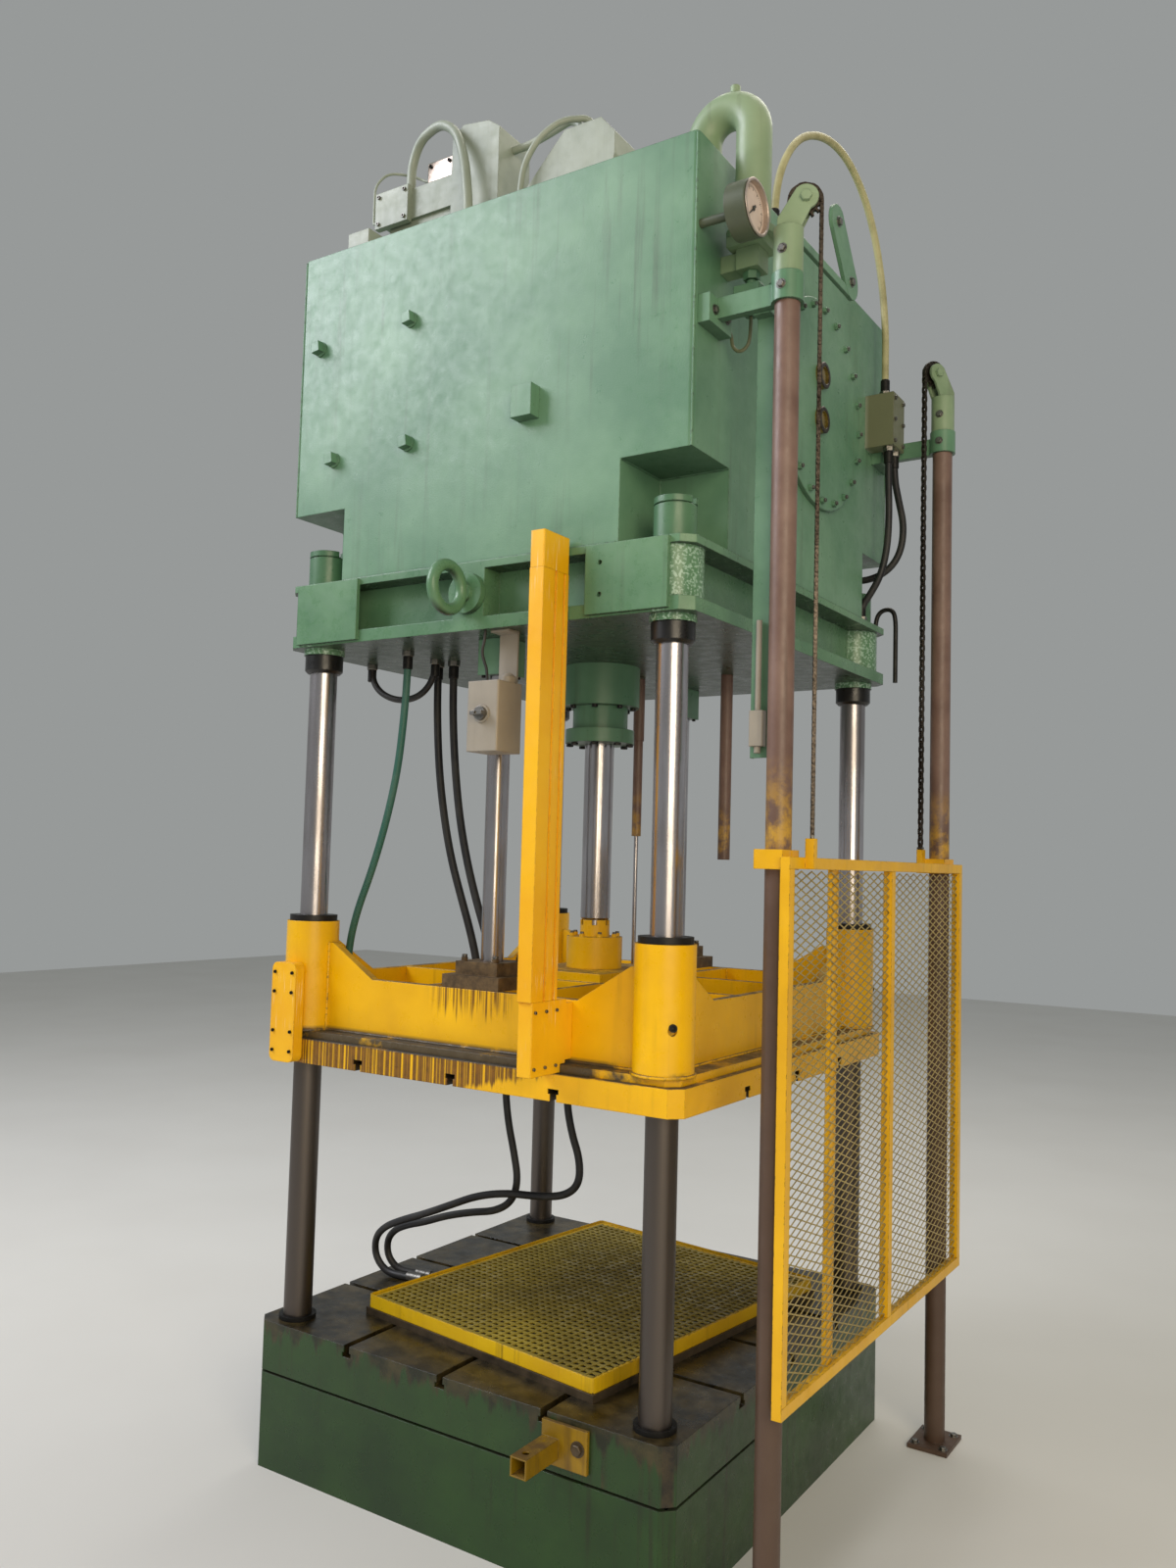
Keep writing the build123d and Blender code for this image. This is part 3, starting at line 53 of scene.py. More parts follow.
def paint(code):
    """An sRGB hex code as linear red, green, blue and alpha."""
    parts = np.array([int(code[k:k + 2], 16) / 255 for k in (1, 3, 5)])
    linear = np.where(parts <= 0.04045, parts / 12.92, ((parts + 0.055) / 1.055) ** 2.4)
    return (*linear.tolist(), 1.0)


def put(tree, kind, inputs=None, **settings):
    """Adds one shader node, sets its properties, and fills its inputs: with values, with links from sockets,
    or with a link from another node's first live output."""
    node = tree.nodes.new("ShaderNode" + kind)
    for key, value in settings.items():
        setattr(node, key, value)
    for key, value in (inputs or {}).items():
        if isinstance(value, bpy.types.Node):
            value = next(output for output in value.outputs if output.enabled)
        if isinstance(value, bpy.types.NodeSocket):
            tree.links.new(value, node.inputs[key])
        else:
            node.inputs[key].default_value = value
    return node


def begin(name, slot=None):
    """A new material with an empty tree, for a slot of the record: the tree and its Object coordinates."""
    material = bpy.data.materials.new(name)
    material.use_nodes = True
    tree = material.node_tree
    tree.nodes.clear()
    finishes[name], finish_slot[name] = material, slot
    return tree, put(tree, "TexCoord").outputs["Object"]


def close(tree, inputs):
    """The tree's shader with its inputs, joined to the tree's output."""
    put(tree, "OutputMaterial", {0: put(tree, "BsdfPrincipled", inputs)})


def enamel(name, slot, coat, shade, bare, gloss, grime="#3a3128", dust=0.5, streak=0.35, chip=0.5,
           patch=0.3, under=0.0, mottle=None):
    """Enamel brushed over welded steel: soft colour patches, runs of dirt, dusty tops, chipped edges, painted
    shade on the faces that look down, and the layers of its own mottle."""
    tree, place = begin(name, slot)
    facing = put(tree, "NewGeometry").outputs["True Normal"]
    tilt = put(tree, "SeparateXYZ", {0: facing}).outputs[2]
    round_edge = put(tree, "Bevel", {"Radius": 0.0035}, samples=3)
    # Patches about a hand wide, where new paint lies over old
    cloud = put(tree, "TexNoise", {"Vector": place, "Scale": 1 / patch, "Detail": 4.0, "Roughness": 0.6})
    level = put(tree, "MapRange", {0: cloud, 1: 0.35, 2: 0.68})
    colour = put(tree, "Mix", {0: level, 6: paint(shade), 7: paint(coat)}, data_type="RGBA")
    # Runs of dirt, 12 mm wide and long along Z
    tall = put(tree, "Mapping", {"Vector": place, "Scale": (1, 1, 0.05)})
    runs = put(tree, "TexNoise", {"Vector": tall, "Scale": 34.0, "Detail": 3.0, "Roughness": 0.6})
    area = put(tree, "TexNoise", {"Vector": place, "Scale": 2.2, "Detail": 2.0})
    some = put(tree, "MapRange", {0: area, 1: 0.42, 2: 0.66})
    dirty = put(tree, "MapRange", {0: runs, 1: 0.55, 2: 0.74, 4: streak})
    dirt = put(tree, "Math", {0: dirty, 1: some}, operation="MULTIPLY")
    # Dust and grime on faces that look up
    flat = put(tree, "MapRange", {0: tilt, 1: 0.55, 2: 0.95, 4: dust})
    grain = put(tree, "TexNoise", {"Vector": place, "Scale": 24.0, "Detail": 5.0, "Roughness": 0.7})
    loose = put(tree, "MapRange", {0: grain, 1: 0.3, 2: 0.6})
    lying = put(tree, "Math", {0: flat, 1: loose}, operation="MULTIPLY")
    # Chips where the rounded and the true normal part, broken up by noise with 8 mm spots
    turned_off = put(tree, "VectorMath", {0: round_edge, 1: facing}, operation="DOT_PRODUCT")
    edge = put(tree, "MapRange", {0: turned_off, 1: 0.99, 2: 0.88})
    nick = put(tree, "TexNoise", {"Vector": place, "Scale": 60.0, "Detail": 4.0, "Roughness": 0.65})
    broken = put(tree, "MapRange", {0: nick, 1: 0.52, 2: 0.6, 4: chip})
    chipped = put(tree, "Math", {0: edge, 1: broken}, operation="MULTIPLY")
    spot = put(tree, "MapRange", {0: nick, 1: 0.75, 2: 0.78, 4: chip})
    marks = put(tree, "Math", {0: chipped, 1: spot}, operation="MAXIMUM")
    layers = [(dirt, paint(grime)), (lying, paint(grime)), (marks, paint(bare))]
    if mottle:
        layers += mottle(tree, place)
    if under:
        # Painted shade: the faces that look down are darkened, standing in for the shadow under them
        low = put(tree, "MapRange", {0: tilt, 1: -0.5, 2: -0.9, 4: under})
        layers.append((low, paint("#1b2019")))
    for mask, tone in layers:
        colour = put(tree, "Mix", {0: mask, 6: colour, 7: tone}, data_type="RGBA")
    rough = put(tree, "MapRange", {0: grain, 1: 0.3, 2: 0.7, 3: gloss - 0.08, 4: gloss + 0.14})
    duller = put(tree, "Math", {0: lying, 1: rough}, operation="ADD", use_clamp=True)
    # Brush marks and orange peel about 4 mm across
    peel = put(tree, "TexNoise", {"Vector": place, "Scale": 250.0, "Detail": 2.0})
    bump = put(tree, "Bump", {"Height": peel, "Strength": 0.12, "Distance": 0.002, "Normal": round_edge})
    close(tree, {"Base Color": colour, "Roughness": duller, "Normal": bump})


def hammered(tree, place):
    """Pale sparkle on the crown's corner tubes, where thick paint lies in pools 3 to 7 mm wide."""
    x, y = put(tree, "SeparateXYZ", {0: place}).outputs[:2]
    off = put(tree, "CombineXYZ")
    for k, way, middle in ((0, x, column_x), (1, y, column_y)):
        size = put(tree, "Math", {0: way}, operation="ABSOLUTE")
        from_middle = put(tree, "Math", {0: size, 1: middle}, operation="SUBTRACT")
        tree.links.new(from_middle.outputs[0], off.inputs[k])
    away = put(tree, "VectorMath", {0: off}, operation="LENGTH")
    near = put(tree, "MapRange", {0: away, 1: 0.08, 2: 0.076})
    pools = put(tree, "TexNoise", {"Vector": place, "Scale": 140.0, "Detail": 2.0, "Roughness": 0.5})
    pale = put(tree, "MapRange", {0: pools, 1: 0.5, 2: 0.6, 4: 0.75})
    return [(put(tree, "Math", {0: near, 1: pale}, operation="MULTIPLY"), paint("#a9c7b4"))]


def oil_runs(tree, place):
    """On the platen: brown oil that ran down its front web and down the plate's front edge, dark grime on the
    ledge between them, black grease in the pockets, and brown steel in the tee slots."""
    x, y, z = put(tree, "SeparateXYZ", {0: place}).outputs
    across = put(tree, "Mapping", {"Vector": place, "Scale": (1, 0, 0)})
    # Runs 5 to 10 mm wide, each with its own length, in wavering tones, and patches a hand wide
    fine, lengths, waver, wide = (
        put(tree, "TexNoise", {"Vector": where, "Scale": scale, "Detail": detail, "Roughness": rough})
        for where, scale, detail, rough in ((across, 95.0, 3.0, 0.6), (across, 41.0, 4.0, 0.7),
                                            (place, 55.0, 3.0, 0.5), (place, 7.0, 5.0, 0.65)))
    facing = put(tree, "NewGeometry").outputs["True Normal"]
    tilt = put(tree, "SeparateXYZ", {0: facing}).outputs[2]
    off_x, off_y = (put(tree, "Math", {0: way}, operation="ABSOLUTE") for way in (x, y))
    # No slot reaches the plate's rounded corners
    lesser = put(tree, "Math", {0: off_x, 1: off_y}, operation="MINIMUM")
    # Masks that grow from nothing at the first place to full at the second
    (front, web_left, web_right, web_foot, plate_right, plate_edge, ledge, ledge_foot, flat, slot_x, slot_y,
     slot_top, slot_clear) = (
        put(tree, "MapRange", {0: way, 1: none, 2: full}) for way, none, full in (
            (y, -0.605, -0.612), (x, -0.14, -0.08), (x, 0.16, 0.1), (z, 1.21, 1.23), (x, 0.36, -0.02),
            (z, 1.204, 1.199), (z, 1.236, 1.224), (z, 1.196, 1.2), (tilt, 0.6, 0.95), (off_x, 0.6735, 0.672),
            (off_y, 0.6785, 0.677), (z, 1.166, 1.164), (lesser, 0.6, 0.59)))
    # Under the rod flange, on the front web: runs that end between Z 1.235 and 1.38
    end = put(tree, "MapRange", {0: lengths, 1: 0.3, 2: 0.7, 3: 1.235, 4: 1.38})
    above = put(tree, "Math", {0: z, 1: end}, operation="SUBTRACT")
    run = put(tree, "MapRange", {0: above, 1: 0.0, 2: 0.03})
    some = put(tree, "MapRange", {0: fine, 1: 0.46, 2: 0.54, 4: 0.9})
    # On the plate's front edge: left of X 0.3, densest from X -0.55 to -0.05
    plate_left = put(tree, "MapRange", {0: x, 1: -0.66, 2: -0.56, 3: 0.4, 4: 1.0})
    dense = put(tree, "Math", {0: plate_right, 1: plate_left}, operation="MULTIPLY")
    reach = put(tree, "Math", {0: lengths, 1: 0.62}, operation="SUBTRACT")
    reach = put(tree, "Math", {0: reach, 1: dense}, operation="ADD")
    tip = put(tree, "MapRange", {0: reach, 1: -0.1, 2: 0.8, 3: 1.205, 4: 1.115})
    over = put(tree, "Math", {0: z, 1: tip}, operation="SUBTRACT")
    drip = put(tree, "MapRange", {0: over, 1: 0.0, 2: 0.012})
    gaps = put(tree, "MapRange", {0: fine, 1: 0.4, 2: 0.5, 4: 0.95})
    shown = put(tree, "MapRange", {0: dense, 1: 0.02, 2: 0.2})
    # Grime thins out towards the right; grease lies on low faces that look up
    thin_out = put(tree, "MapRange", {0: x, 1: 0.35, 2: 0.6, 3: 0.0, 4: 0.3})
    patchy = put(tree, "Math", {0: wide, 1: thin_out}, operation="SUBTRACT")
    patchy = put(tree, "MapRange", {0: patchy, 1: 0.3, 2: 0.42, 4: 0.95})
    pocket = put(tree, "MapRange", {0: wide, 1: 0.36, 2: 0.5, 4: 0.92})
    low_face = put(tree, "MapRange", {0: z, 1: 1.42, 2: 1.38, 3: 0.2, 4: 0.9})
    products = []
    for factors in ((web_left, web_right, run, some, web_foot), (drip, plate_edge, gaps, shown),
                    (ledge, ledge_foot, patchy, front), (flat, pocket, low_face),
                    (slot_x, slot_y, slot_top, slot_clear)):
        product = factors[0]
        for factor in factors[1:]:
            product = put(tree, "Math", {0: product, 1: factor}, operation="MULTIPLY")
        products.append(product)
    web, plate, band, grease, slot = products
    both = put(tree, "Math", {0: web, 1: plate}, operation="MAXIMUM")
    both = put(tree, "Math", {0: both, 1: front}, operation="MULTIPLY")
    oil, grit = (put(tree, "Mix", {0: waver, 6: paint(dark), 7: paint(light)}, data_type="RGBA")
                 for dark, light in (("#3a210c", "#8a5a1c"), ("#24231f", "#565148")))
    return [(both, oil), (band, grit), (grease, paint("#3b3a37")), (slot, paint("#2f2414"))]


def black_low(tree, place):
    """Below the crown's roof the nuts' paint gives way to black oxide."""
    z = put(tree, "SeparateXYZ", {0: place}).outputs[2]
    return [(put(tree, "MapRange", {0: z, 1: 2.47, 2: 2.45}), paint("#121110"))]


def oily_top(tree, place):
    """Brown steel under oil everywhere but on the table's outer sides, with runs of it over their rims."""
    x, y, z = put(tree, "SeparateXYZ", {0: place}).outputs
    off_x, off_y = (put(tree, "Math", {0: way}, operation="ABSOLUTE") for way in (x, y))
    facing = put(tree, "NewGeometry").outputs["True Normal"]
    tilt = put(tree, "SeparateXYZ", {0: facing}).outputs[2]
    side_x, side_y, wall = (put(tree, "MapRange", {0: way, 1: none, 2: full}) for way, none, full in (
        (off_x, 0.668, 0.672), (off_y, 0.673, 0.677), (tilt, 0.6, 0.3)))
    outer = put(tree, "Math", {0: side_x, 1: side_y}, operation="MAXIMUM")
    painted = put(tree, "Math", {0: outer, 1: wall}, operation="MULTIPLY")
    tall = put(tree, "Mapping", {"Vector": place, "Scale": (1, 1, 0.12)})
    runs = put(tree, "TexNoise", {"Vector": tall, "Scale": 26.0, "Detail": 4.0, "Roughness": 0.6})
    rim = put(tree, "MapRange", {0: z, 1: 0.33, 2: 0.4, 3: 0.0, 4: 0.3})
    level = put(tree, "Math", {0: runs, 1: rim}, operation="ADD")
    run = put(tree, "MapRange", {0: level, 1: 0.62, 2: 0.72, 3: 1.0, 4: 0.15})
    shown = put(tree, "Math", {0: painted, 1: run}, operation="MULTIPLY")
    cloud = put(tree, "TexNoise", {"Vector": place, "Scale": 14.0, "Detail": 6.0, "Roughness": 0.65})
    rub = put(tree, "MapRange", {0: cloud, 1: 0.4, 2: 0.65})
    steel = put(tree, "Mix", {0: rub, 6: paint("#191509"), 7: paint("#473c22")}, data_type="RGBA")
    return [(put(tree, "Math", {0: 1.0, 1: shown}, operation="SUBTRACT"), steel)]


def chalky(tree, place):
    """Short pale rubs and scratches on the upright's faces, 3 mm wide and up to 60 mm long."""
    tall = put(tree, "Mapping", {"Vector": place, "Scale": (1, 1, 0.06)})
    rubs = put(tree, "TexNoise", {"Vector": tall, "Scale": 210.0, "Detail": 2.0, "Roughness": 0.5})
    area = put(tree, "TexNoise", {"Vector": place, "Scale": 6.0, "Detail": 3.0})
    some = put(tree, "MapRange", {0: area, 1: 0.5, 2: 0.66})
    line = put(tree, "MapRange", {0: rubs, 1: 0.6, 2: 0.72, 4: 0.6})
    return [(put(tree, "Math", {0: some, 1: line}, operation="MULTIPLY"), paint("#fbe2b0"))]


def olive_rear(tree, place):
    """The valve on the tank's right side: older olive paint than the grey of the roof units."""
    x, y, z = put(tree, "SeparateXYZ", {0: place}).outputs
    side, low = (put(tree, "MapRange", {0: way, 1: none, 2: full})
                 for way, none, full in ((x, 0.66, 0.68), (z, 3.4, 3.36)))
    return [(put(tree, "Math", {0: side, 1: low}, operation="MULTIPLY"), paint("#6b6e53"))]


def darker_down(tree, place):
    """Oil and dust brown the guard's tubes from the guard's height down, with yellow overspray above it."""
    z = put(tree, "SeparateXYZ", {0: place}).outputs[2]
    ragged = put(tree, "TexNoise", {"Vector": place, "Scale": 18.0, "Detail": 5.0, "Roughness": 0.7})
    low, above, under, some = (
        put(tree, "MapRange", {0: way, 1: none, 2: full, 4: most}) for way, none, full, most in (
            (z, 2.0, 1.5, 0.75), (z, 1.755, 1.765, 1.0), (z, 1.98, 1.8, 1.0), (ragged, 0.42, 0.6, 0.8)))
    spray = put(tree, "Math", {0: above, 1: under}, operation="MULTIPLY")
    spray = put(tree, "Math", {0: spray, 1: some}, operation="MULTIPLY")
    return [(low, paint("#463423")), (spray, paint("#c79a2a"))]


def bare_metal(name, slot, bright, dark, rough, film, stretch=(1, 1, 1), size=0.02, metallic=1.0,
               dark_below=None):
    """Bare steel: a bright ground colour with a darker oil film in patches and fine lay marks."""
    tree, place = begin(name, slot)
    lay = put(tree, "Mapping", {"Vector": place, "Scale": stretch})
    patches = put(tree, "TexNoise", {"Vector": lay, "Scale": 1 / size, "Detail": 5.0, "Roughness": 0.65})
    wide = put(tree, "TexNoise", {"Vector": place, "Scale": 3.0, "Detail": 3.0})
    blend = put(tree, "Math", {0: patches, 1: wide}, operation="ADD")
    amount = put(tree, "MapRange", {0: blend, 1: 0.8, 2: 1.25, 4: film})
    if dark_below:
        # Oil and dust gather low on the bar: nearly all film under the first height, none above the second
        z = put(tree, "SeparateXYZ", {0: place}).outputs[2]
        low = put(tree, "MapRange", {0: z, 1: dark_below[0], 2: dark_below[1], 3: 0.9, 4: 0.0})
        amount = put(tree, "Math", {0: low, 1: amount}, operation="MAXIMUM")
    colour = put(tree, "Mix", {0: amount, 6: paint(bright), 7: paint(dark)}, data_type="RGBA")
    dull = put(tree, "MapRange", {0: amount, 1: 0.0, 2: 1.0, 3: rough, 4: rough + 0.25})
    edge = put(tree, "Bevel", {"Radius": 0.002}, samples=3)
    bump = put(tree, "Bump", {"Height": patches, "Strength": 0.08, "Distance": 0.001, "Normal": edge})
    close(tree, {"Base Color": colour, "Metallic": metallic, "Roughness": dull, "Normal": bump})


def moulded(name, slot, tone, worn, rough):
    """Rubber, plastic or glass-fronted print: one tone with dusty worn patches and a 6 mm grain."""
    tree, place = begin(name, slot)
    dust = put(tree, "TexNoise", {"Vector": place, "Scale": 9.0, "Detail": 5.0, "Roughness": 0.65})
    level = put(tree, "MapRange", {0: dust, 1: 0.42, 2: 0.7})
    colour = put(tree, "Mix", {0: level, 6: paint(tone), 7: paint(worn)}, data_type="RGBA")
    dull = put(tree, "MapRange", {0: dust, 1: 0.3, 2: 0.7, 3: rough, 4: rough + 0.15})
    grain = put(tree, "TexNoise", {"Vector": place, "Scale": 1 / 0.006, "Detail": 2.0})
    bump = put(tree, "Bump", {"Height": grain, "Strength": 0.3, "Distance": 0.0006})
    close(tree, {"Base Color": colour, "Roughness": dull, "Normal": bump})


# Machine-green enamel, brushed over old coats: satin, with hazy patches and thin dirty runs; painted shade
# below
enamel("green enamel", "green_paint", "#6f9678", "#557f62", "#2f3b34", 0.33, streak=0.4, chip=0.75,
       dust=0.35, under=0.5)
# The same green in thick pools on the crown, where the corner tubes look hammered; strong painted shade on
# its undersides
enamel("crown enamel", "green_paint", "#678e6b", "#4f7858", "#2c3a33", 0.28, streak=0.3, chip=0.8, dust=0.5,
       under=0.85, mottle=hammered)
# The green above the crown's roof on the column nuts, whose lower ones are blackened steel
enamel("nut enamel", "dark_steel", "#587f5f", "#44694e", "#2c3a33", 0.3, streak=0.3, chip=0.8, dust=0.5,
       mottle=black_low)
# Older, deeper green on the bed, with oil over it: darker and glossier
enamel("bed enamel", "bed_green_paint", "#274819", "#1b3515", "#1a1f18", 0.3, grime="#221c10", streak=0.9,
       chip=0.9, dust=0.8)
# The table: the same green on its outer sides, brown steel under oil and dust on its top and in its slots
enamel("table enamel", "oily_plate", "#29481c", "#1e3717", "#1a1f18", 0.3, grime="#2a2214", streak=0.9,
       chip=0.9, dust=0.0, mottle=oily_top)
# Safety-yellow enamel with oil runs: strong colour, brown streaks, black grease where it lies flat
enamel("platen enamel", "yellow_paint", "#fac200", "#e6ad00", "#5a4420", 0.3, grime="#6a4a10", dust=0.55,
       streak=0.5, chip=0.8, mottle=oil_runs)
# Newer yellow-orange enamel on folded sheet: cleaner, small nicks and chalky rubs
enamel("post enamel", "yellow_paint", "#fcc316", "#f2b00c", "#6b4a1e", 0.36, grime="#b8742a", dust=0.15,
       streak=0.3, chip=0.5, mottle=chalky)
# Yellow enamel knocked about by hand: chips down to brown steel on every edge
enamel("guard enamel", "guard_yellow", "#f0ba08", "#dca504", "#4a3618", 0.36, grime="#7c6420", dust=0.3,
       streak=0.45, chip=1.0)
# Old yellow on the bed's bracket: rusty where it lies flat
enamel("rusty yellow enamel", "yellow_paint", "#a88206", "#7c6005", "#3f2c12", 0.42, grime="#5a4318",
       dust=1.0, streak=0.9, chip=1.0)
# Lemon-yellow enamel on the tray's rim, oil-stained along its foot
enamel("rim enamel", "yellow_paint", "#e6bd08", "#cfa206", "#4a3618", 0.34, grime="#6a5010", dust=0.3,
       streak=0.8, chip=0.9)
# Grey enamel on electrical boxes and valves: flat and slightly dusty
enamel("grey enamel", "grey_enamel", "#a39c90", "#8f887c", "#4c4a46", 0.42, grime="#55504a", dust=0.4,
       streak=0.3, chip=0.4)
# Grey-green enamel on the valves: thin, dusty on top
enamel("valve enamel", "grey_enamel", "#a7ae9f", "#8a9384", "#3f4640", 0.42, grime="#5a584a", dust=0.6,
       streak=0.6, chip=0.6, mottle=olive_rear)
# Greyed green enamel on the elbow and the sprocket heads: thin, dull with dust
enamel("dusty green enamel", "green_paint", "#93a786", "#7b9370", "#3f4640", 0.4, grime="#5a584a", dust=0.5,
       streak=0.5, chip=0.6)
# The gauge's case: dark olive enamel, greasy
enamel("olive enamel", "green_paint", "#5f6852", "#4a5240", "#34362e", 0.4, grime="#2f2c22", dust=0.6,
       streak=0.4, chip=0.5)
# Expanded mesh under thin, worn yellow paint: strands catch the light on their slit edges
enamel("mesh steel", "mesh_steel", "#c9b26a", "#a08a48", "#4a4028", 0.38, grime="#6a5c30", dust=0.2,
       streak=0.3, chip=0.5)
# Tray sheet, yellow once: olive with oil in it
enamel("tray enamel", "yellow_paint", "#b8a130", "#8a7826", "#3a3018", 0.28, grime="#4a3d16", dust=0.4,
       streak=0.3, chip=0.6)
# Brown primer on drawn tube: matt, with rust showing through and darker towards the floor
enamel("brown primer", "brown_tube", "#80675c", "#6b5248", "#3b2a22", 0.42, grime="#3c2a20", dust=0.2,
       streak=0.6, chip=0.6, patch=0.12, mottle=darker_down)
# Ground steel columns: bright above, dark with oil under the platen
bare_metal("column steel", "column_steel", "#c6c1c4", "#4f463c", 0.2, 0.5, stretch=(1, 1, 0.12),
           dark_below=(1.12, 1.75))
# Hard chrome on rod and ram with an oil film: smooth, with vertical smears
bare_metal("rod chrome", "rod_steel", "#c4bfc1", "#766f6c", 0.15, 0.6, stretch=(1, 1, 0.08))
# Blackened nuts and castings: dark, oily, low shine
bare_metal("black steel", "dark_steel", "#2b2a29", "#141312", 0.38, 0.9, metallic=0.6)
# Oiled roller chain
bare_metal("chain steel", "chain_steel", "#5d554d", "#241f1b", 0.35, 0.9, size=0.006)
# Old table plate: brown rust under oil, with worn bright rubs
bare_metal("oily plate", "oily_plate", "#5d4f3c", "#2b2418", 0.36, 0.95, size=0.05, metallic=0.35)
# The rods' flanges: forged steel gone rusty brown
bare_metal("flange steel", "oily_plate", "#7d6440", "#372a1a", 0.5, 0.85, size=0.03, metallic=0.2)
# The tray's floor under its grating: black with old oil
bare_metal("tray floor", "oily_plate", "#2b2312", "#120e07", 0.25, 0.9, size=0.05, metallic=0.1)
# The gauge's rim: satin steel, warm from the dial
bare_metal("rim steel", "chain_steel", "#c8b8ac", "#8f8076", 0.3, 0.5, size=0.01, metallic=0.7)
# Zinc-plated screws and fittings gone dull
bare_metal("dull zinc", "chain_steel", "#8f8d88", "#4f4b45", 0.34, 0.8, size=0.008)
# Hose covers: matt rubber, greyed by dust
moulded("black rubber", "hose_rubber", "#17171a", "#33322f", 0.46)
moulded("green rubber", "green_hose_rubber", "#2b5f52", "#41685c", 0.46)
moulded("pale vinyl", "pale_hose_rubber", "#b7b184", "#8f8a62", 0.42)
# The gauge's dial and its ink, and the oil behind the sight glasses
moulded("dial print", "dial_white", "#e2d2c8", "#cdb9ac", 0.3)
moulded("dial ink", "hose_rubber", "#2a2422", "#3a302c", 0.4)
moulded("oil in glass", "sight_glass", "#6a5a24", "#4a3f1c", 0.12)

node_finish = {
    "green enamel": ["oil_tank", "side_cover", "tank_plugs", "tube_clamps", "cable_channel", "main_cylinder",
                     "side_cylinders"],
    "olive enamel": ["gauge_case"],
    "dusty green enamel": ["suction_elbow", "sprocket_heads"],
    "crown enamel": ["crown", "lifting_eye"],
    "bed enamel": ["bed_base"],
    "oily plate": ["tray_plate"],
    "table enamel": ["bed_table"],
    "nut enamel": ["column_nuts"],
    "rusty yellow enamel": ["bed_bracket"],
    "valve enamel": ["valve_stack", "pump_block", "tank_pipes"],
    "flange steel": ["rod_flanges"],
    "dull zinc": ["rotary_switch"],
    "platen enamel": ["platen_plate", "platen_frame", "ram_socket"],
    "post enamel": ["ribbed_post", "post_caps", "left_bracket", "drip_tray"],
    "guard enamel": ["guard_frame", "guard_collars"],
    "grey enamel": ["limit_switch", "control_box"],
    "brown primer": ["guard_tubes", "hanging_tubes"],
    "column steel": ["column_front_left", "column_front_right", "column_rear_left", "column_rear_right"],
    "rod chrome": ["ram", "side_rods", "stroke_rod"],
    "black steel": ["column_foot_collars", "guide_rings", "counterweight_front", "counterweight_rear"],
    "chain steel": ["sprocket_front", "sprocket_rear"],
    "black rubber": ["gauge_needle"],
    "oil in glass": ["sight_glasses"],
}
for finish, names in node_finish.items():
    for name in names:
        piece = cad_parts[name]
        piece.data.materials.clear()
        piece.data.materials.append(finishes[finish])


def lattice(rows, columns, round_rows=False, round_columns=True):
    """Quads between neighbours on a rows by columns grid, joined end to end where it runs round."""
    u = np.arange(rows if round_rows else rows - 1)[:, None]
    v = np.arange(columns if round_columns else columns - 1)[None, :]
    nu, nv = (u + 1) % rows, (v + 1) % columns
    corners = (u * columns + v, nu * columns + v, nu * columns + nv, u * columns + nv)
    return np.stack(np.broadcast_arrays(*corners), -1).reshape(-1, 4)


def fit(name, points, faces, finish, body, sharp=35):
    """Makes the mesh, merges poles and seams, turns its faces outward and rides it on its body."""
    mesh = bpy.data.meshes.new(name)
    mesh.from_pydata(points.reshape(-1, 3).tolist(), [], faces if isinstance(faces, list) else faces.tolist())
    work = bmesh.new()
    work.from_mesh(mesh)
    bmesh.ops.remove_doubles(work, verts=work.verts, dist=1e-6)
    bmesh.ops.recalc_face_normals(work, faces=work.faces)
    work.to_mesh(mesh)
    work.free()
    mesh.shade_smooth()
    mesh.set_sharp_from_angle(angle=radians(sharp))
    mesh.materials.append(finishes[finish])
    piece = bpy.data.objects.new(name, mesh)
    bpy.context.collection.objects.link(piece)
    if body:
        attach(piece, body)
    return piece


def numbered(faces, count, size):
    """The faces of one shape of so many points, repeated for a count of such shapes in a row."""
    return (faces[None] + (np.arange(count) * size)[:, None, None]).reshape(-1, faces.shape[1])


def turned(name, outline, spots, axis, finish, body, sides=20, sharp=35):
    """Turned parts: point = spot + height along the axis + radius (cos a, sin a) across it, one ring for each
    pair of the outline."""
    along = np.array(axis, float) / np.linalg.norm(axis)
    side = np.cross(along, (0.0, 0.0, 1.0) if abs(along[2]) < 0.9 else (1.0, 0.0, 0.0))
    side /= np.linalg.norm(side)
    over = np.cross(along, side)
    a = np.arange(sides) * 2 * pi / sides
    radius, height = np.array(outline, float).T
    ring = np.cos(a)[:, None] * side + np.sin(a)[:, None] * over
    points = height[:, None, None] * along + radius[:, None, None] * ring[None]
    points = np.reshape(spots, (-1, 1, 3)) + points.reshape(1, -1, 3)
    faces = numbered(lattice(len(outline), sides), len(points), len(outline) * sides)
    return fit(name, points, faces, finish, body, sharp)


def carried(path, profile, flat, scale=None):
    """A profile carried along a path: point = path + x side + y over, side square to the path and flat."""
    path = np.asarray(path, float)
    along = np.gradient(path, axis=0)
    along /= np.linalg.norm(along, axis=1)[:, None]
    side = np.cross(along, flat)
    side /= np.linalg.norm(side, axis=1)[:, None]
    over = np.cross(side, along)
    grow = np.ones(len(path)) if scale is None else scale
    x = profile[None, :, :1] * grow[:, None, None]
    y = profile[None, :, 1:] * grow[:, None, None]
    return path[:, None] + x * side[:, None] + y * over[:, None]


def capped(rows, columns):
    """The lattice of an open sweep with one flat face at each end."""
    sides = lattice(rows, columns).tolist()
    return sides + [list(range(columns)), list(range((rows - 1) * columns, rows * columns))]


def circle(r, sides):
    """Points of a circle in a profile's plane."""
    a = np.arange(sides) * 2 * pi / sides
    return np.stack([r * np.cos(a), r * np.sin(a)], -1)


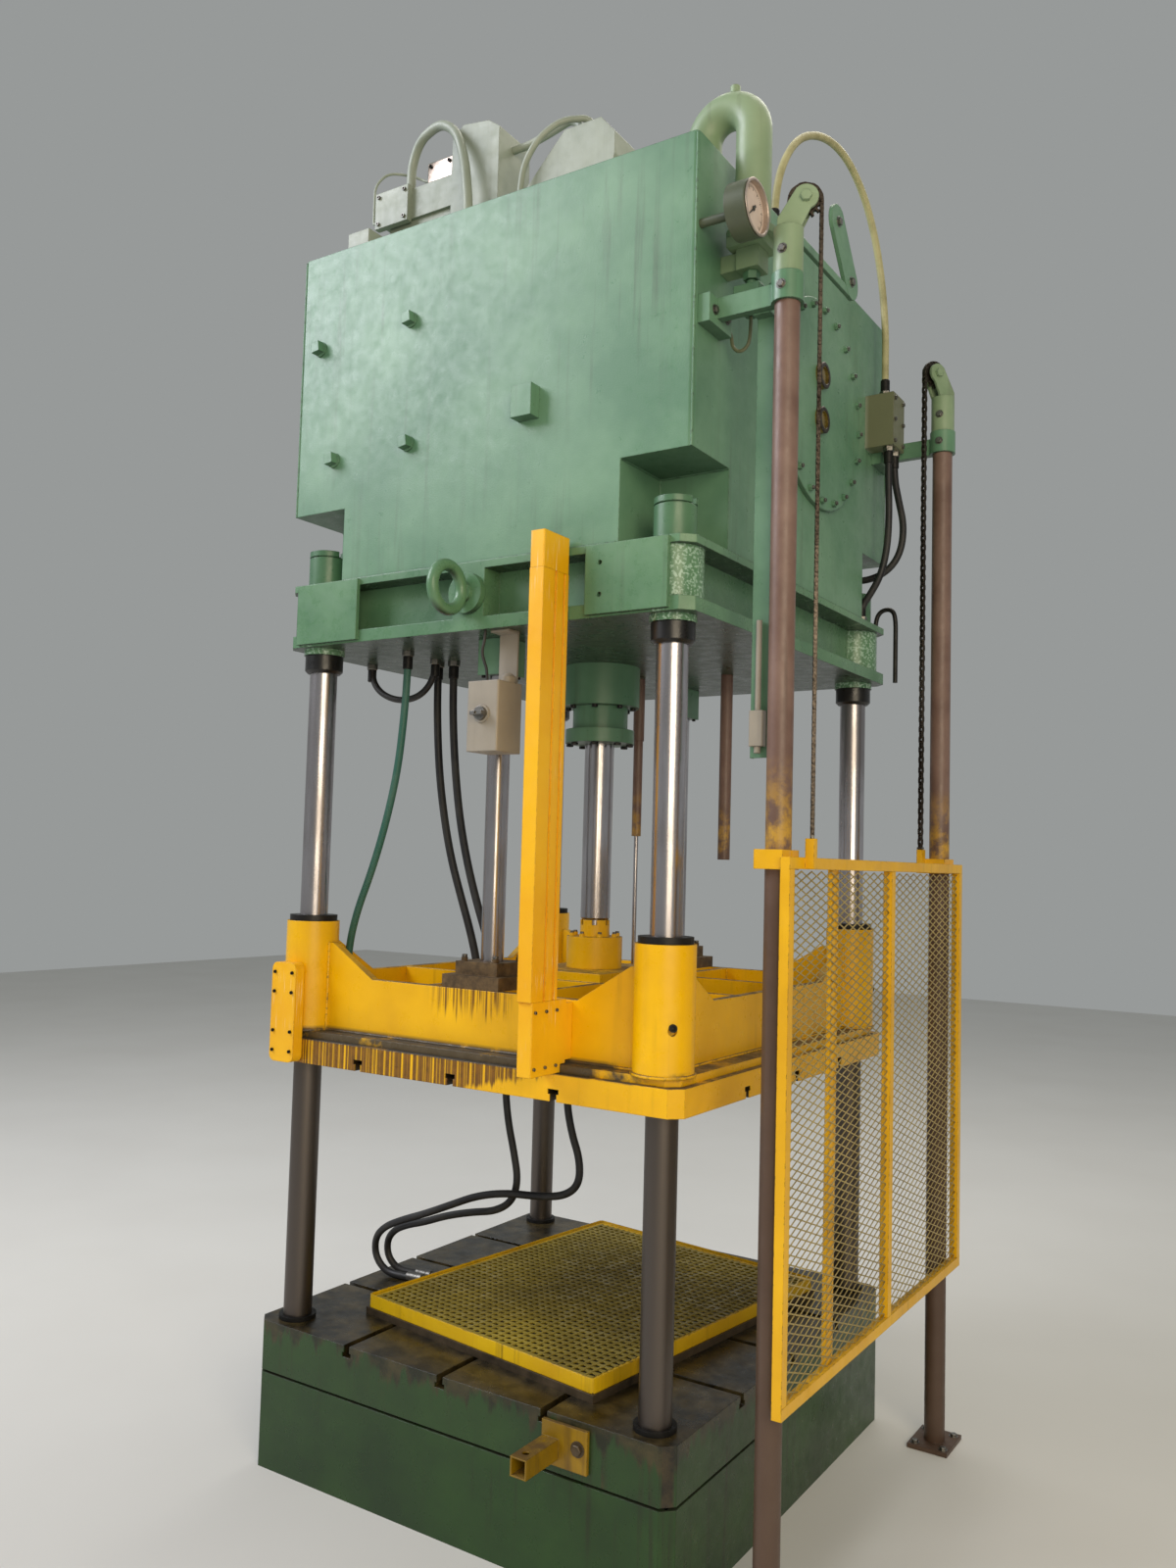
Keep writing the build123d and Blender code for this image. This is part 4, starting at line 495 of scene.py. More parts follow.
def bars(name, limits, finish, body, soft=0.0015):
    """Straight bars and plates between pairs of corner limits, their edges rounded by a bevel."""
    limits = np.array(limits, float)
    corner = np.array([[i, j, k] for i in (0, 1) for j in (0, 1) for k in (0, 1)])
    points = limits[:, 0][:, None] + corner[None] * (limits[:, 1] - limits[:, 0])[:, None]
    box = np.array([[0, 1, 3, 2], [4, 6, 7, 5], [0, 4, 5, 1], [2, 3, 7, 6], [0, 2, 6, 4], [1, 5, 7, 3]])
    piece = fit(name, points, numbered(box, len(limits), 8), finish, body)
    bevel = piece.modifiers.new("edges", "BEVEL")
    bevel.width = soft
    bevel.segments = 2
    bevel.harden_normals = True


def bead(path, r, pitch=0.007):
    """A weld bead's line and radius: the radius swells by a sixth once each pitch along the path."""
    path = np.asarray(path, float)
    steps = np.linalg.norm(np.diff(path, axis=0), axis=1)
    reach = np.concatenate([[0], np.cumsum(steps)])
    count = max(4, int(reach[-1] / (pitch / 2.5)))
    even = np.linspace(0, reach[-1], count)
    line = np.stack([np.interp(even, reach, path[:, k]) for k in range(3)], -1)
    return line, r * (1 + 0.16 * np.sin(even * 2 * pi / pitch))


def weld(name, runs, r, finish, body):
    """Several weld beads in one piece: six-sided rounds carried along the runs, their corners set by a
    slanting direction that no run follows."""
    all_points, all_faces, start = [], [], 0
    for run in runs:
        line, radius = bead(run, r)
        points = carried(line, circle(1.0, 6), (0.31, 0.47, 0.83), radius)
        faces = capped(len(line), 6)
        all_points.append(points.reshape(-1, 3))
        all_faces += [[k + start for k in face] for face in faces]
        start += len(line) * 6
    fit(name, np.concatenate(all_points), all_faces, finish, body, sharp=80)


# The photograph's camera, solved from the press's own edges
yaw, pitch, roll = 0.577, 0.065, 0.027
ahead = Vector((-sin(yaw) * cos(pitch), cos(yaw) * cos(pitch), sin(pitch)))
right = Vector((cos(yaw), sin(yaw), 0))
up = right.cross(ahead)
tilted_right = right * cos(roll) + up * sin(roll)
tilted_up = up * cos(roll) - right * sin(roll)
lens = bpy.data.cameras.new("camera")
lens.lens = 28.19
lens.sensor_width = 36.0
lens.clip_end = 60
camera = bpy.data.objects.new("camera", lens)
turn = Matrix((tilted_right, tilted_up, -ahead)).transposed().to_4x4()
camera.matrix_world = Matrix.Translation((2.0443, -3.2012, 1.7153)) @ turn
bpy.context.collection.objects.link(camera)
bpy.context.scene.camera = camera
bpy.context.scene.view_settings.view_transform = "Standard"


def hang(name, route):
    """The smooth line of a hose: a NURBS spline whose control points are the route's, read as points."""
    data = bpy.data.curves.new(name + "_line", "CURVE")
    data.dimensions = "3D"
    data.resolution_u = 10
    spline = data.splines.new("NURBS")
    spline.points.add(len(route) - 1)
    for point, place in zip(spline.points, route):
        point.co = (*place, 1)
    spline.order_u = 3
    spline.use_endpoint_u = True
    holder = bpy.data.objects.new(name + "_line", data)
    bpy.context.collection.objects.link(holder)
    line = bpy.data.meshes.new_from_object(holder)
    path = np.empty(len(line.vertices) * 3)
    line.vertices.foreach_get("co", path)
    bpy.data.objects.remove(holder)
    bpy.data.meshes.remove(line)
    return path.reshape(-1, 3)


def hose(name, node, route, d, finish, flat, ends):
    """A hose or cable: a circle carried along the smooth line of its route, given in millimetres; ends is its
    body, or the two bodies that it runs between, and then it rides on neither."""
    route = [tuple(k / 1000 for k in spot) for spot in route]
    path = hang(name, route)
    points = carried(path, circle(d / 2000, 14), flat)
    moving = len(ends) == 2
    piece = fit(name, points, capped(len(path), 14), finish, None if moving else ends[0], sharp=60)
    if moving:
        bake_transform(piece)
    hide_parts(node)


# Heights and routes in millimetres, as in the part's source
crown_z = 2324
sole_top = 1220
tank_top = 3504
table_top = 400
valve_z = 3060
floor_z = table_top + 11.5
green_route = [(-356, -500, crown_z), (-356, -500, 2240), (-364, -500, 2120), (-378, -500, 1990),
               (-402, -500, 1880), (-434, -500, 1770), (-476, -498, 1660), (-522, -496, 1560),
               (-550, -495, 1460), (-554, -494, 1360), (-554, -494.5, 1290), (-554, -494.5, sole_top)]
black_routes = [
    [(-408, -300, crown_z), (-408, -300, 2220), (-402, -299, 2100), (-390, -297, 1970),
     (-368, -294, 1840), (-338, -292, 1720), (-298, -290, 1610), (-254, -290, 1500),
     (-222, -292, 1400), (-212, -294, 1310), (-212, -294, sole_top)],
    [(-346, -300, crown_z), (-346, -300, 2220), (-338, -301, 2100), (-322, -303, 1970),
     (-298, -306, 1840), (-264, -310, 1720), (-222, -316, 1610), (-172, -322, 1500),
     (-130, -328, 1400), (-110, -330, 1310), (-110, -330, sole_top)],
]
loop_route = [(-636, -350, crown_z), (-636, -350, 2282), (-606, -350.5, 2240), (-556, -351, 2214),
              (-500, -351, 2204), (-444, -351, 2212), (-404, -350.5, 2238), (-378, -350, 2282),
              (-378, -350, crown_z)]
rear_routes = [
    [(738, 500, valve_z), (738, 500, 2960), (742, 500, 2850), (738, 500, 2740), (718, 500, 2650),
     (680, 504, 2590), (652, 506, 2555), (652, 506, 2508)],
    [(736, 560, valve_z), (736, 560, 2980), (752, 560, 2900), (770, 559, 2820), (764, 557, 2740),
     (734, 552, 2684), (680, 546, 2652), (610, 542, 2648), (540, 540, 2648), (467, 540, 2648)],
]
cream_route = [(630, -150, tank_top), (630, -150, 3600), (646, -130, 3710), (664, -60, 3810),
               (684, 60, 3870), (698, 200, 3880), (708, 330, 3820), (714, 420, 3720),
               (718, 480, 3590), (720, 510, 3450), (720, 512, 3340), (720, 512, valve_z + 170)]
table_routes = [
    [(60, -222, 1132), (60, -222, 1040), (80, -222, 950), (112, -222, 876), (112, -222, 806),
     (62, -222, 766), (-30, -222, 750), (-140, -222, 742), (-250, -222, 716), (-350, -222, 672),
     (-450, -221, 628), (-550, -218, 590), (-622, -214, 556), (-664, -208, 512), (-664, -202, 452),
     (-620, -196, floor_z), (-556, -191, floor_z), (-490, -187, floor_z)],
    [(-190, -180, 1132), (-190, -180, 1040), (-176, -180, 940), (-150, -180, 850), (-132, -180, 770),
     (-152, -180, 706), (-212, -180, 668), (-300, -180, 650), (-400, -180, 622), (-490, -178, 586),
     (-556, -175, 566), (-614, -171, 540), (-650, -166, 500), (-650, -160, 446), (-610, -154, floor_z),
     (-550, -149, floor_z), (-488, -145, floor_z)],
]
cable_route = [(66, -662, 2180), (66, -662, 2216), (54, -664, 2244), (48, -666, 2270),
               (56, -664, 2296), (56, -664, crown_z)]

fixed, drop, under = ("frame",), ("frame", "platen"), ("platen", "frame")
for name, node, route, d, length, finish, ends in (
        ("green_drop_hose", "green_hose", green_route, 22, 1133, "green rubber", drop),
        ("black_drop_hose_1", "black_hoses", black_routes[0], 24, 1131, "black rubber", drop),
        ("black_drop_hose_2", "black_hoses", black_routes[1], 24, 1141, "black rubber", drop),
        ("crown_loop_hose", "crown_hose", loop_route, 20, 399, "black rubber", fixed),
        ("rear_valve_hose_1", "rear_hoses", rear_routes[0], 22, 578, "black rubber", fixed),
        ("rear_valve_hose_2", "rear_hoses", rear_routes[1], 22, 669, "black rubber", fixed),
        ("pale_roof_hose", "cream_hose", cream_route, 22, 1382, "pale vinyl", fixed),
        ("table_hose_1", "table_hoses", table_routes[0], 22, 1417, "black rubber", under),
        ("table_hose_2", "table_hoses", table_routes[1], 22, 1201, "black rubber", under)):
    hose(name, node, route, d, finish, (1, 0, 0) if finish == "pale vinyl" else (0, 1, 0), ends)
hose("box_wire", "box_cable", cable_route, 8, "black rubber", (0, 1, 0), fixed)

# The guard's expanded mesh: its diamonds' long and short way, and the plane that it lies in
mesh_long, mesh_short = 0.059, 0.021
mesh_x = 0.9245


def strips(count, rings):
    """Faces of a count of closed four-sided strips, each of so many rings of corners."""
    last = rings * 4
    one = np.concatenate([lattice(rings, 4), [[0, 1, 2, 3], [last - 1, last - 2, last - 3, last - 4]]])
    return numbered(one, count, last)


def zigzags(low, high, bottom, top):
    """Strands of expanded metal: z = row + a quarter of the short way times a triangle wave of y, rows half a
    short way apart and in opposite phase, so each pair of neighbours makes a line of diamonds. A strand is
    flat and slants, 2.4 mm wide and 3.6 mm high over its corners, as slit and stretched sheet is."""
    rows = np.arange(int((top - bottom) / (mesh_short / 2))) * mesh_short / 2 + bottom + mesh_short / 4
    steps = int(round((high - low) / (mesh_long / 2)))
    y = np.linspace(low, high, steps + 1)
    wave = np.where(np.arange(steps + 1) % 2 == 0, 1.0, -1.0)
    phase = np.where(np.arange(len(rows)) % 2 == 0, 1.0, -1.0)
    z = rows[:, None] + mesh_short / 4 * wave[None] * phase[:, None]
    corner_x = np.array([-0.0012, 0.0006, 0.0012, -0.0006])
    corner_z = np.array([-0.0012, -0.0018, 0.0012, 0.0018])
    x = np.broadcast_to(mesh_x + corner_x, (len(rows), steps + 1, 4))
    grid_y = np.broadcast_to(y[None, :, None], x.shape)
    grid_z = z[:, :, None] + corner_z
    return np.stack([x, grid_y, grid_z], -1), strips(len(rows), steps + 1)


for name, low, high in (("mesh_front", -0.6365, 0.0165), ("mesh_rear", 0.0395, 0.6365)):
    points, faces = zigzags(low, high, 0.546, 1.719)
    panel = fit(name, points, faces, "mesh steel", "guard", sharp=30)
    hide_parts("guard_mesh")

# Small fillet welds where the guard's bars meet, half a bar from their middles
half_bar = 0.0135
runs = [[(0.9325, y - half_bar, z), (0.9325, y + half_bar, z)]
        for y in (-0.648, 0.028, 0.648) for z in (0.535 + half_bar, 1.73 - half_bar)]
weld("guard_welds", runs, 0.0016, "guard enamel", "guard")

# Roller chain: every link is a pair of waisted plates and a roller, set along a path at the chain's pitch
pitch = 0.015875


def chain(name, path, along, across, finish, body, node, start=0):
    """Links at path points. A plate is a pitch and 8.4 mm long: u = half of that times cos t, v = 6.6 mm
    times sin t, drawn in at the waist by 0.72 + 0.28 cos^2 t. Every other link is outside its neighbours."""
    path, along = np.asarray(path, float), np.asarray(along, float)
    side = np.cross(across, along)
    t = np.linspace(0, 2 * pi, 12, endpoint=False)
    out_u = (0.5 * pitch + 0.0042) * np.cos(t)
    out_v = 0.0066 * np.sin(t) * (0.72 + 0.28 * np.cos(t) ** 2)
    gap = np.where((np.arange(len(path)) + start) % 2 == 0, 0.0042, 0.0062)
    plate = path[:, None] + out_u[:, None] * along[:, None] + out_v[:, None] * side[:, None]
    links = np.concatenate([plate + (hand * (gap + thick))[:, None, None] * across
                            for hand in (-1, 1) for thick in (0.0, 0.0017)], axis=1)
    # Rollers 9.8 mm across between the plates at each joint
    a = np.arange(8) * pi / 4
    centre = path - along * pitch / 2
    ring = (np.cos(a)[None, :, None] * along[:, None] + np.sin(a)[None, :, None] * side[:, None]) * 0.0049
    wide = np.array([-1, 1])[None, :, None, None] * 0.0044 * across
    rollers = centre[:, None, None] + ring[:, None] + wide
    points = np.concatenate([links.reshape(-1, 3), rollers.reshape(-1, 3)])
    faces = [[n * 24 + q for q in face] for n in range(2 * len(path)) for face in capped(2, 12)]
    faces += [[(3 * len(path) + n) * 16 + q for q in face] for n in range(len(path)) for face in capped(2, 8)]
    piece = fit(name, points, faces, finish, body, sharp=40)
    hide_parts(node)
    return piece


wheel_r = pitch / (2 * sin(pi / 15))
wheel_z = 3.295
tube_x, tube_y = 0.878, 0.604
tube_links, rise = 95, np.array([0.0, 0.0, 1.0])
for end, tube_side, turn in (("front", -1, atan2(34, 67)), ("rear", 1, atan2(-66, -38))):
    out = np.array([cos(turn), sin(turn), 0.0])
    across = np.array([sin(turn), -cos(turn), 0.0])
    centre = np.array([tube_x, tube_side * tube_y, wheel_z]) + wheel_r * out
    top = centre + wheel_r * out
    foot = np.array([top[0], top[1], wheel_z - tube_links * pitch])
    drop = -(np.arange(tube_links) + 0.5)[:, None] * pitch * rise
    run = chain(f"guard_chain_{end}", top + drop, np.tile(rise, (tube_links, 1)), across, "chain steel", None,
                "guard_chains")
    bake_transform(run)
    # Over the wheel, eight links with their joints in the tooth gaps, then seven down into the tube
    a = np.radians(6 + 24 * np.arange(8))[:, None]
    arc = centre + wheel_r * cos(pi / 15) * (np.cos(a) * out + np.sin(a) * rise)
    fall = centre - wheel_r * out - (np.arange(7) + 0.5)[:, None] * pitch * rise
    lay = np.concatenate([np.cos(a) * rise - np.sin(a) * out, np.tile(-rise, (7, 1))])
    chain(f"wheel_chain_{end}", np.concatenate([arc, fall]), lay, across, "chain steel", "frame",
          "chain_heads", start=1)
    # The bolt that holds the chain's end on the guard
    turned(f"chain_pin_{end}", [(0, -0.012), (0.004, -0.012), (0.004, 0.012), (0, 0.012)],
           [foot + 0.004 * rise], across, "dull zinc", "guard", sides=10)

# The drip tray: how far it is turned on the table, and where its middle is
tray_turn = radians(-7.5)
tray_spot = np.array([0.047, -0.003, 0.0])


def on_tray(points):
    """Points given along the tray's own sides, turned and set in place on the table."""
    c, s = cos(tray_turn), sin(tray_turn)
    x = points[..., 0] * c - points[..., 1] * s
    y = points[..., 0] * s + points[..., 1] * c
    return np.stack([x, y, points[..., 2]], -1) + tray_spot


# Rim: a folded sheet, an L-shaped profile carried round the tray's rounded outline
half_w, half_l, round_r = 0.426, 0.526, 0.012
a = np.linspace(0, pi / 2, 5)
quarter = np.stack([np.cos(a), np.sin(a)], -1) * round_r
outline = []
for k, (sx, sy) in enumerate(((1, 1), (-1, 1), (-1, -1), (1, -1))):
    spin = np.array([[cos(k * pi / 2), -sin(k * pi / 2)], [sin(k * pi / 2), cos(k * pi / 2)]])
    outline.append(quarter @ spin.T + np.array([sx * (half_w - round_r), sy * (half_l - round_r)]))
outline = np.concatenate(outline)
# Profile pairs: how far inwards, and height
rim_profile = [(0.0, 0.4205), (0.0, 0.4565), (0.0005, 0.457), (0.0025, 0.457), (0.003, 0.4565), (0.003, 0.45),
               (0.0205, 0.449), (0.0205, 0.4465), (0.003, 0.4465), (0.003, 0.4205)]
rings = []
for inset, height in rim_profile:
    shrink = np.array([(half_w - inset) / half_w, (half_l - inset) / half_l])
    rings.append(np.concatenate([outline * shrink, np.full((len(outline), 1), height)], axis=1))
points = on_tray(np.stack(rings))
rim = fit("tray_rim", points, lattice(len(rim_profile), len(outline), round_rows=True), "rim enamel", "frame")
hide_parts("drip_tray")

# Grating: punched sheet as crossing bars 24 mm apart, the cross bars wider than the long ones
hole_pitch = 0.0238
across_bars = np.arange(-0.404, 0.4041, hole_pitch)
long_bars = np.arange(-0.504, 0.5041, hole_pitch)


def wavy_bars(offsets, half_length, half_width, along_y, height):
    """Flat bars whose half-width = mean + 1.6 mm times cos(2 pi s / hole pitch): widest where bars cross, so
    that the holes' corners are rounded off."""
    s = np.linspace(-half_length, half_length, int(2 * half_length / hole_pitch) * 4 + 1)
    width = half_width + 0.0016 * np.cos(2 * pi * (s + half_length) / hole_pitch)
    ring = np.array([[-1, 0], [1, 0], [1, -0.0025], [-1, -0.0025]])
    u = offsets[:, None, None] + ring[None, None, :, 0] * width[None, :, None]
    v = np.broadcast_to(s[None, :, None], u.shape)
    z = height + np.broadcast_to(ring[None, None, :, 1], u.shape)
    points = np.stack([u, v, z] if along_y else [v, u, z], -1)
    return on_tray(points), strips(len(offsets), len(s))


for name, surface in (("tray_grating_long", wavy_bars(across_bars, 0.508, 0.0048, True, 0.4507)),
                      ("tray_grating_cross", wavy_bars(long_bars, 0.408, 0.0062, False, 0.4503))):
    grate = fit(name, *surface, "tray enamel", "frame")
    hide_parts("drip_tray")
pan_x, pan_y = 0.423, 0.523
floor_rings = np.array([[(-pan_x, -pan_y, z), (pan_x, -pan_y, z), (pan_x, pan_y, z), (-pan_x, pan_y, z)]
                        for z in (0.4205, 0.4235)])
pan_piece = fit("tray_pan", on_tray(floor_rings), capped(2, 4), "tray floor", "frame")
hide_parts("drip_tray")

# Welds on the platen: round the bosses' feet, along the webs' feet, and up the ribs
a = np.linspace(0, 2 * pi, 61)
ring = np.stack([np.cos(a), np.sin(a), 0 * a], -1)
runs = [ring * 0.0755 + np.array([x, y, 1.2215]) for x, y in columns]
for s in (-1, 1):
    runs += [[(-0.52, s * 0.6135, 1.222), (0.52, s * 0.6135, 1.222)],
             [(s * 0.5985, -0.535, 1.222), (s * 0.5985, 0.535, 1.222)]]
    for x in (-0.16, 0.16, -0.14, 0.14):
        runs.append([(x, s * 0.588, 1.225), (x, s * 0.588, 1.372)])
weld("platen_welds", runs, 0.0045, "platen enamel", "platen")


def upright_runs(reach, low, high, web_x=0.598, web_y=0.613):
    """Upright welds where the webs meet each boss or corner tube, at its radius from the column."""
    return [[(*spot, low), (*spot, high)] for x, y in columns for spot in (
        (x - np.sign(x) * reach, np.sign(y) * web_y), (np.sign(x) * web_x, y - np.sign(y) * reach))]


weld("boss_welds", upright_runs(0.0745, 1.225, 1.47), 0.005, "platen enamel", "platen")
# Welds on the crown: up and round its corner tubes, along its recesses' feet, and along the tank's foot
runs = upright_runs(0.0735, 2.36, 2.487) + [ring * 0.0745 + np.array([x, y, 2.3595]) for x, y in columns]
for s in (-1, 1):
    runs += [[(-0.515, s * 0.614, 2.3595), (0.515, s * 0.614, 2.3595)],
             [(s * 0.599, -0.53, 2.3595), (s * 0.599, 0.53, 2.3595)],
             [(-0.46, s * 0.672, 2.5085), (0.46, s * 0.672, 2.5085)],
             [(s * 0.668, -0.46, 2.5085), (s * 0.668, 0.46, 2.5085)]]
weld("crown_welds", runs, 0.004, "crown enamel", "frame")
# Welds on the tank: round its corner notches, and its sheets' corner seams, a little in from the rounded edge
runs = []
for s in (-1, 1):
    for t in (-1, 1):
        x0, x1, y0, y1, top = s * 0.467, s * 0.666, t * 0.471, t * 0.67, 2.72
        runs += [[(x0, y0, 2.511), (x0, y0, top)], [(x0, y0, top), (x1, y0, top)],
                 [(x0, y0, top), (x0, y1, top)], [(s * 0.6645, t * 0.6685, z) for z in (top, 3.5)]]
weld("tank_welds", runs, 0.0035, "green enamel", "frame")

rightward, frontward, upward, downward = (1, 0, 0), (0, -1, 0), (0, 0, 1), (0, 0, -1)


def bolts(name, spots, axis, r, finish, body, washer=True):
    """Hexagon heads of radius r on round washers, at each spot, standing along the axis."""
    head = [(0, 0.12 * r), (r, 0.12 * r), (r, 0.72 * r), (0.88 * r, 0.82 * r), (0, 0.82 * r)]
    turned(name, head, spots, axis, finish, body, sides=6, sharp=25)
    if washer:
        ring = [(0, 0), (1.35 * r, 0), (1.35 * r, 0.13 * r), (0, 0.13 * r)]
        turned(name + "_washers", ring, spots, axis, finish, body, sides=18)


def sockets(name, spots, axis, r, finish, body):
    """Cap screws of radius r with a hexagon socket sunk 0.6 r into the head."""
    head = [(0, 0), (r, 0), (r, 0.92 * r), (0.93 * r, r), (0.55 * r, r), (0.5 * r, 0.4 * r), (0, 0.4 * r)]
    turned(name, head, spots, axis, finish, body, sides=18, sharp=30)


def ringed(axis, centre, r, count, start=0.0):
    """Spots evenly round a circle about a centre, in the plane square to the axis 0 or 2."""
    a = np.arange(count) * 2 * pi / count + start
    flat = [0 * a, r * np.cos(a), r * np.sin(a)] if axis == 0 else [r * np.cos(a), r * np.sin(a), 0 * a]
    return np.array(centre) + np.stack(flat, -1)


# Bolts round the tank's side cover, and the two sight glasses
cover = ringed(0, (0.6905, 0.095, 3.07), 0.283, 20)
sockets("cover_bolt_tips", cover, rightward, 0.0062, "dull zinc", "frame")
glass_y = 0.078
rim = [(0.026, 0.0285), (0.030, 0.0285), (0.034, 0.0265), (0.0385, 0.0265), (0.0385, 0.0285), (0.036, 0.0305),
       (0.027, 0.0305), (0.026, 0.0295)]
rim = [(r, h + 0.6665) for r, h in rim] + [(0.026, 0.695)]
pane = [(0, 0.6892), (0.018, 0.6892), (0.0232, 0.6886), (0.0238, 0.6892), (0.0232, 0.6902), (0.018, 0.6915),
        (0, 0.692)]
for k, z in enumerate((3.151, 3.019)):
    turned(f"sight_glass_rim_{k + 1}", rim, [(0, glass_y, z)], rightward, "chain steel", "frame", sides=32)
    turned(f"sight_glass_pane_{k + 1}", pane, [(0, glass_y, z)], rightward, "oil in glass", "frame", sides=32)

# Nuts and screws round the main gland, and the tips of the ram socket's bolts
bolts("gland_nuts", ringed(2, (0, 0, 2.087), 0.094, 8, pi / 8), downward, 0.011, "black steel", "frame",
      washer=False)
sockets("gland_screws", ringed(2, (0, 0, 2.2), 0.102, 8, pi / 8), downward, 0.009, "black steel", "frame")
sockets("ram_socket_tips", ringed(2, (0, 0, 1.5045), 0.071, 8), upward, 0.006, "dull zinc", "platen")
rod_y = 0.515
for end, s in (("front", -1), ("rear", 1)):
    # Screws of the side glands and rod flanges, bolts of the clamp arms, tube rings and sleeves
    spots = [(x, s * rod_y + y, 2.225) for x in (-0.034, 0.034) for y in (-0.034, 0.034)]
    sockets(f"side_gland_screws_{end}", spots, downward, 0.006, "black steel", "frame")
    flange = [(x, s * rod_y + y, 1.4555) for x in (-0.053, 0.053) for y in (-0.053, 0.053)]
    sockets(f"rod_flange_sockets_{end}", flange, upward, 0.0075, "dull zinc", "platen")
    arm = [(0.7005, s * y, 3.061) for y in (0.63, 0.565)]
    bolts(f"clamp_bolt_{end}", arm, rightward, 0.0095, "dull zinc", "frame")
    for part, proud, z in (("ring", 0.0385, 3.078), ("sleeve", 0.035, 3.165)):
        spots = [(tube_x, s * tube_y - proud, z)]
        bolts(f"{part}_bolt_{end}", spots, frontward, 0.009, "dull zinc", "frame")

# Screws on the upright's caps and the left bracket, bolts on the bed's bracket and the tubes' foot plates
post_screws = [(0.3325, y, z) for y in (-0.776, -0.73, -0.685) for z in (1.356, 1.222)]
sockets("post_screws", post_screws, rightward, 0.0042, "dull zinc", "platen")
bracket = [(x, -0.7142, z) for x in (-0.622, -0.554) for z in (1.385, 1.33, 1.22, 1.165)]
sockets("bracket_screws", bracket, frontward, 0.0048, "black steel", "platen")
bolts("bracket_bolt", [(0.431, -0.690, 0.34)], frontward, 0.014, "oily plate", "frame")
feet = [(x, s * tube_y + y, 0.012) for s in (-1, 1) for x in (0.836, 0.92) for y in (-0.054, 0.054)]
bolts("foot_plate_bolts", feet, upward, 0.01, "dull zinc", "frame")

# Hose ends: a hexagon nut and a ribbed crimp sleeve where a route begins (0) or ends (-1), pointing up (1) or
# down (-1), sized to the hose's radius
for name, route, spot, way, r, body in (
        ("green_top", green_route, 0, -1, 0.011, "frame"),
        ("green_foot", green_route, -1, 1, 0.011, "platen"),
        ("black_top_1", black_routes[0], 0, -1, 0.012, "frame"),
        ("black_top_2", black_routes[1], 0, -1, 0.012, "frame"),
        ("black_foot_1", black_routes[0], -1, 1, 0.012, "platen"),
        ("black_foot_2", black_routes[1], -1, 1, 0.012, "platen"),
        ("loop_1", loop_route, 0, -1, 0.01, "frame"),
        ("loop_2", loop_route, -1, -1, 0.01, "frame"),
        ("valve_1", rear_routes[0], 0, -1, 0.011, "frame"),
        ("valve_2", rear_routes[1], 0, -1, 0.011, "frame"),
        ("valve_foot", rear_routes[0], -1, 1, 0.011, "frame"),
        ("pale_foot", cream_route, 0, 1, 0.011, "frame"),
        ("pale_end", cream_route, -1, 1, 0.011, "frame"),
        ("table_top_1", table_routes[0], 0, -1, 0.011, "platen"),
        ("table_top_2", table_routes[1], 0, -1, 0.011, "platen")):
    place = [tuple(k / 1000 for k in route[spot])]
    nut = [(0, 0), (r + 0.007, 0), (r + 0.007, 0.014), (r + 0.005, 0.016), (0, 0.016)]
    turned(f"hose_nut_{name}", nut, place, (0, 0, way), "dull zinc", body, sides=6, sharp=25)
    sleeve = [(0, 0.016)] + [(r + 0.003 + 0.0009 * (k % 2), float(h))
                             for k, h in enumerate(np.arange(0.016, 0.0521, 0.003))]
    sleeve += [(r + 0.0015, 0.054), (0, 0.054)]
    turned(f"hose_crimp_{name}", sleeve, place, (0, 0, way), "black steel", body, sides=18, sharp=50)
# Free ends on the table: couplings on the hoses' last stretch
for k, (x, y) in enumerate(((-0.488, -0.187), (-0.486, -0.145))):
    plug = [(0, -0.05), (0.0135, -0.05), (0.0135, -0.012), (0.0155, -0.01), (0.0155, 0.006), (0.011, 0.008),
            (0.011, 0.022), (0.007, 0.024), (0, 0.024)]
    turned(f"table_coupling_{k + 1}", plug, [(x, y, 0.4157)], (1, 0.06, 0), "dull zinc", "frame", sides=16)

# The gauge's dial: a printed disc with a ring of graduations, behind a thin bezel
dial_y, dial_z = -0.65, 3.275
dial = [(0, 0.0), (0.0605, 0.0), (0.0605, 0.0006), (0, 0.0006)]
turned("dial_plate", dial, [(0.8052, dial_y, dial_z)], rightward, "dial print", "frame", sides=48)
bezel = [(0.0592, 0.0), (0.0608, 0.0), (0.0608, 0.0122), (0.0662, 0.0122), (0.0668, 0.013), (0.0655, 0.0142),
         (0.0605, 0.0142), (0.0592, 0.0125)]
turned("gauge_bezel", bezel + [bezel[0]], [(0.8053, dial_y, dial_z)], rightward, "rim steel", "frame",
       sides=48)
# Graduations 5.4 degrees apart, every fifth one longer and wider: bars laid along (cos t, sin t)
t = np.radians(np.arange(-45, 226, 5.4))[:, None]
fifth = np.arange(len(t))[:, None] % 5 == 0
inner, half = np.where(fifth, 0.043, 0.048), np.where(fifth, 0.0009, 0.0005)
outer = 0.0535
out = np.concatenate([0 * t, np.cos(t), np.sin(t)], axis=1)
side = np.concatenate([0 * t, -np.sin(t), np.cos(t)], axis=1)
corners = ((inner, -half), (outer, -half), (outer, half), (inner, half))
ring = np.stack([out * r + side * h for r, h in corners], axis=1)
marks = ring[:, None] + np.array([[0.8058, dial_y, dial_z], [0.8061, dial_y, dial_z]])[None, :, None]
mark_faces = [[n + 8 * k for n in face] for k in range(len(t)) for face in capped(2, 4)]
fit("dial_marks", marks, mark_faces, "dial ink", "frame")

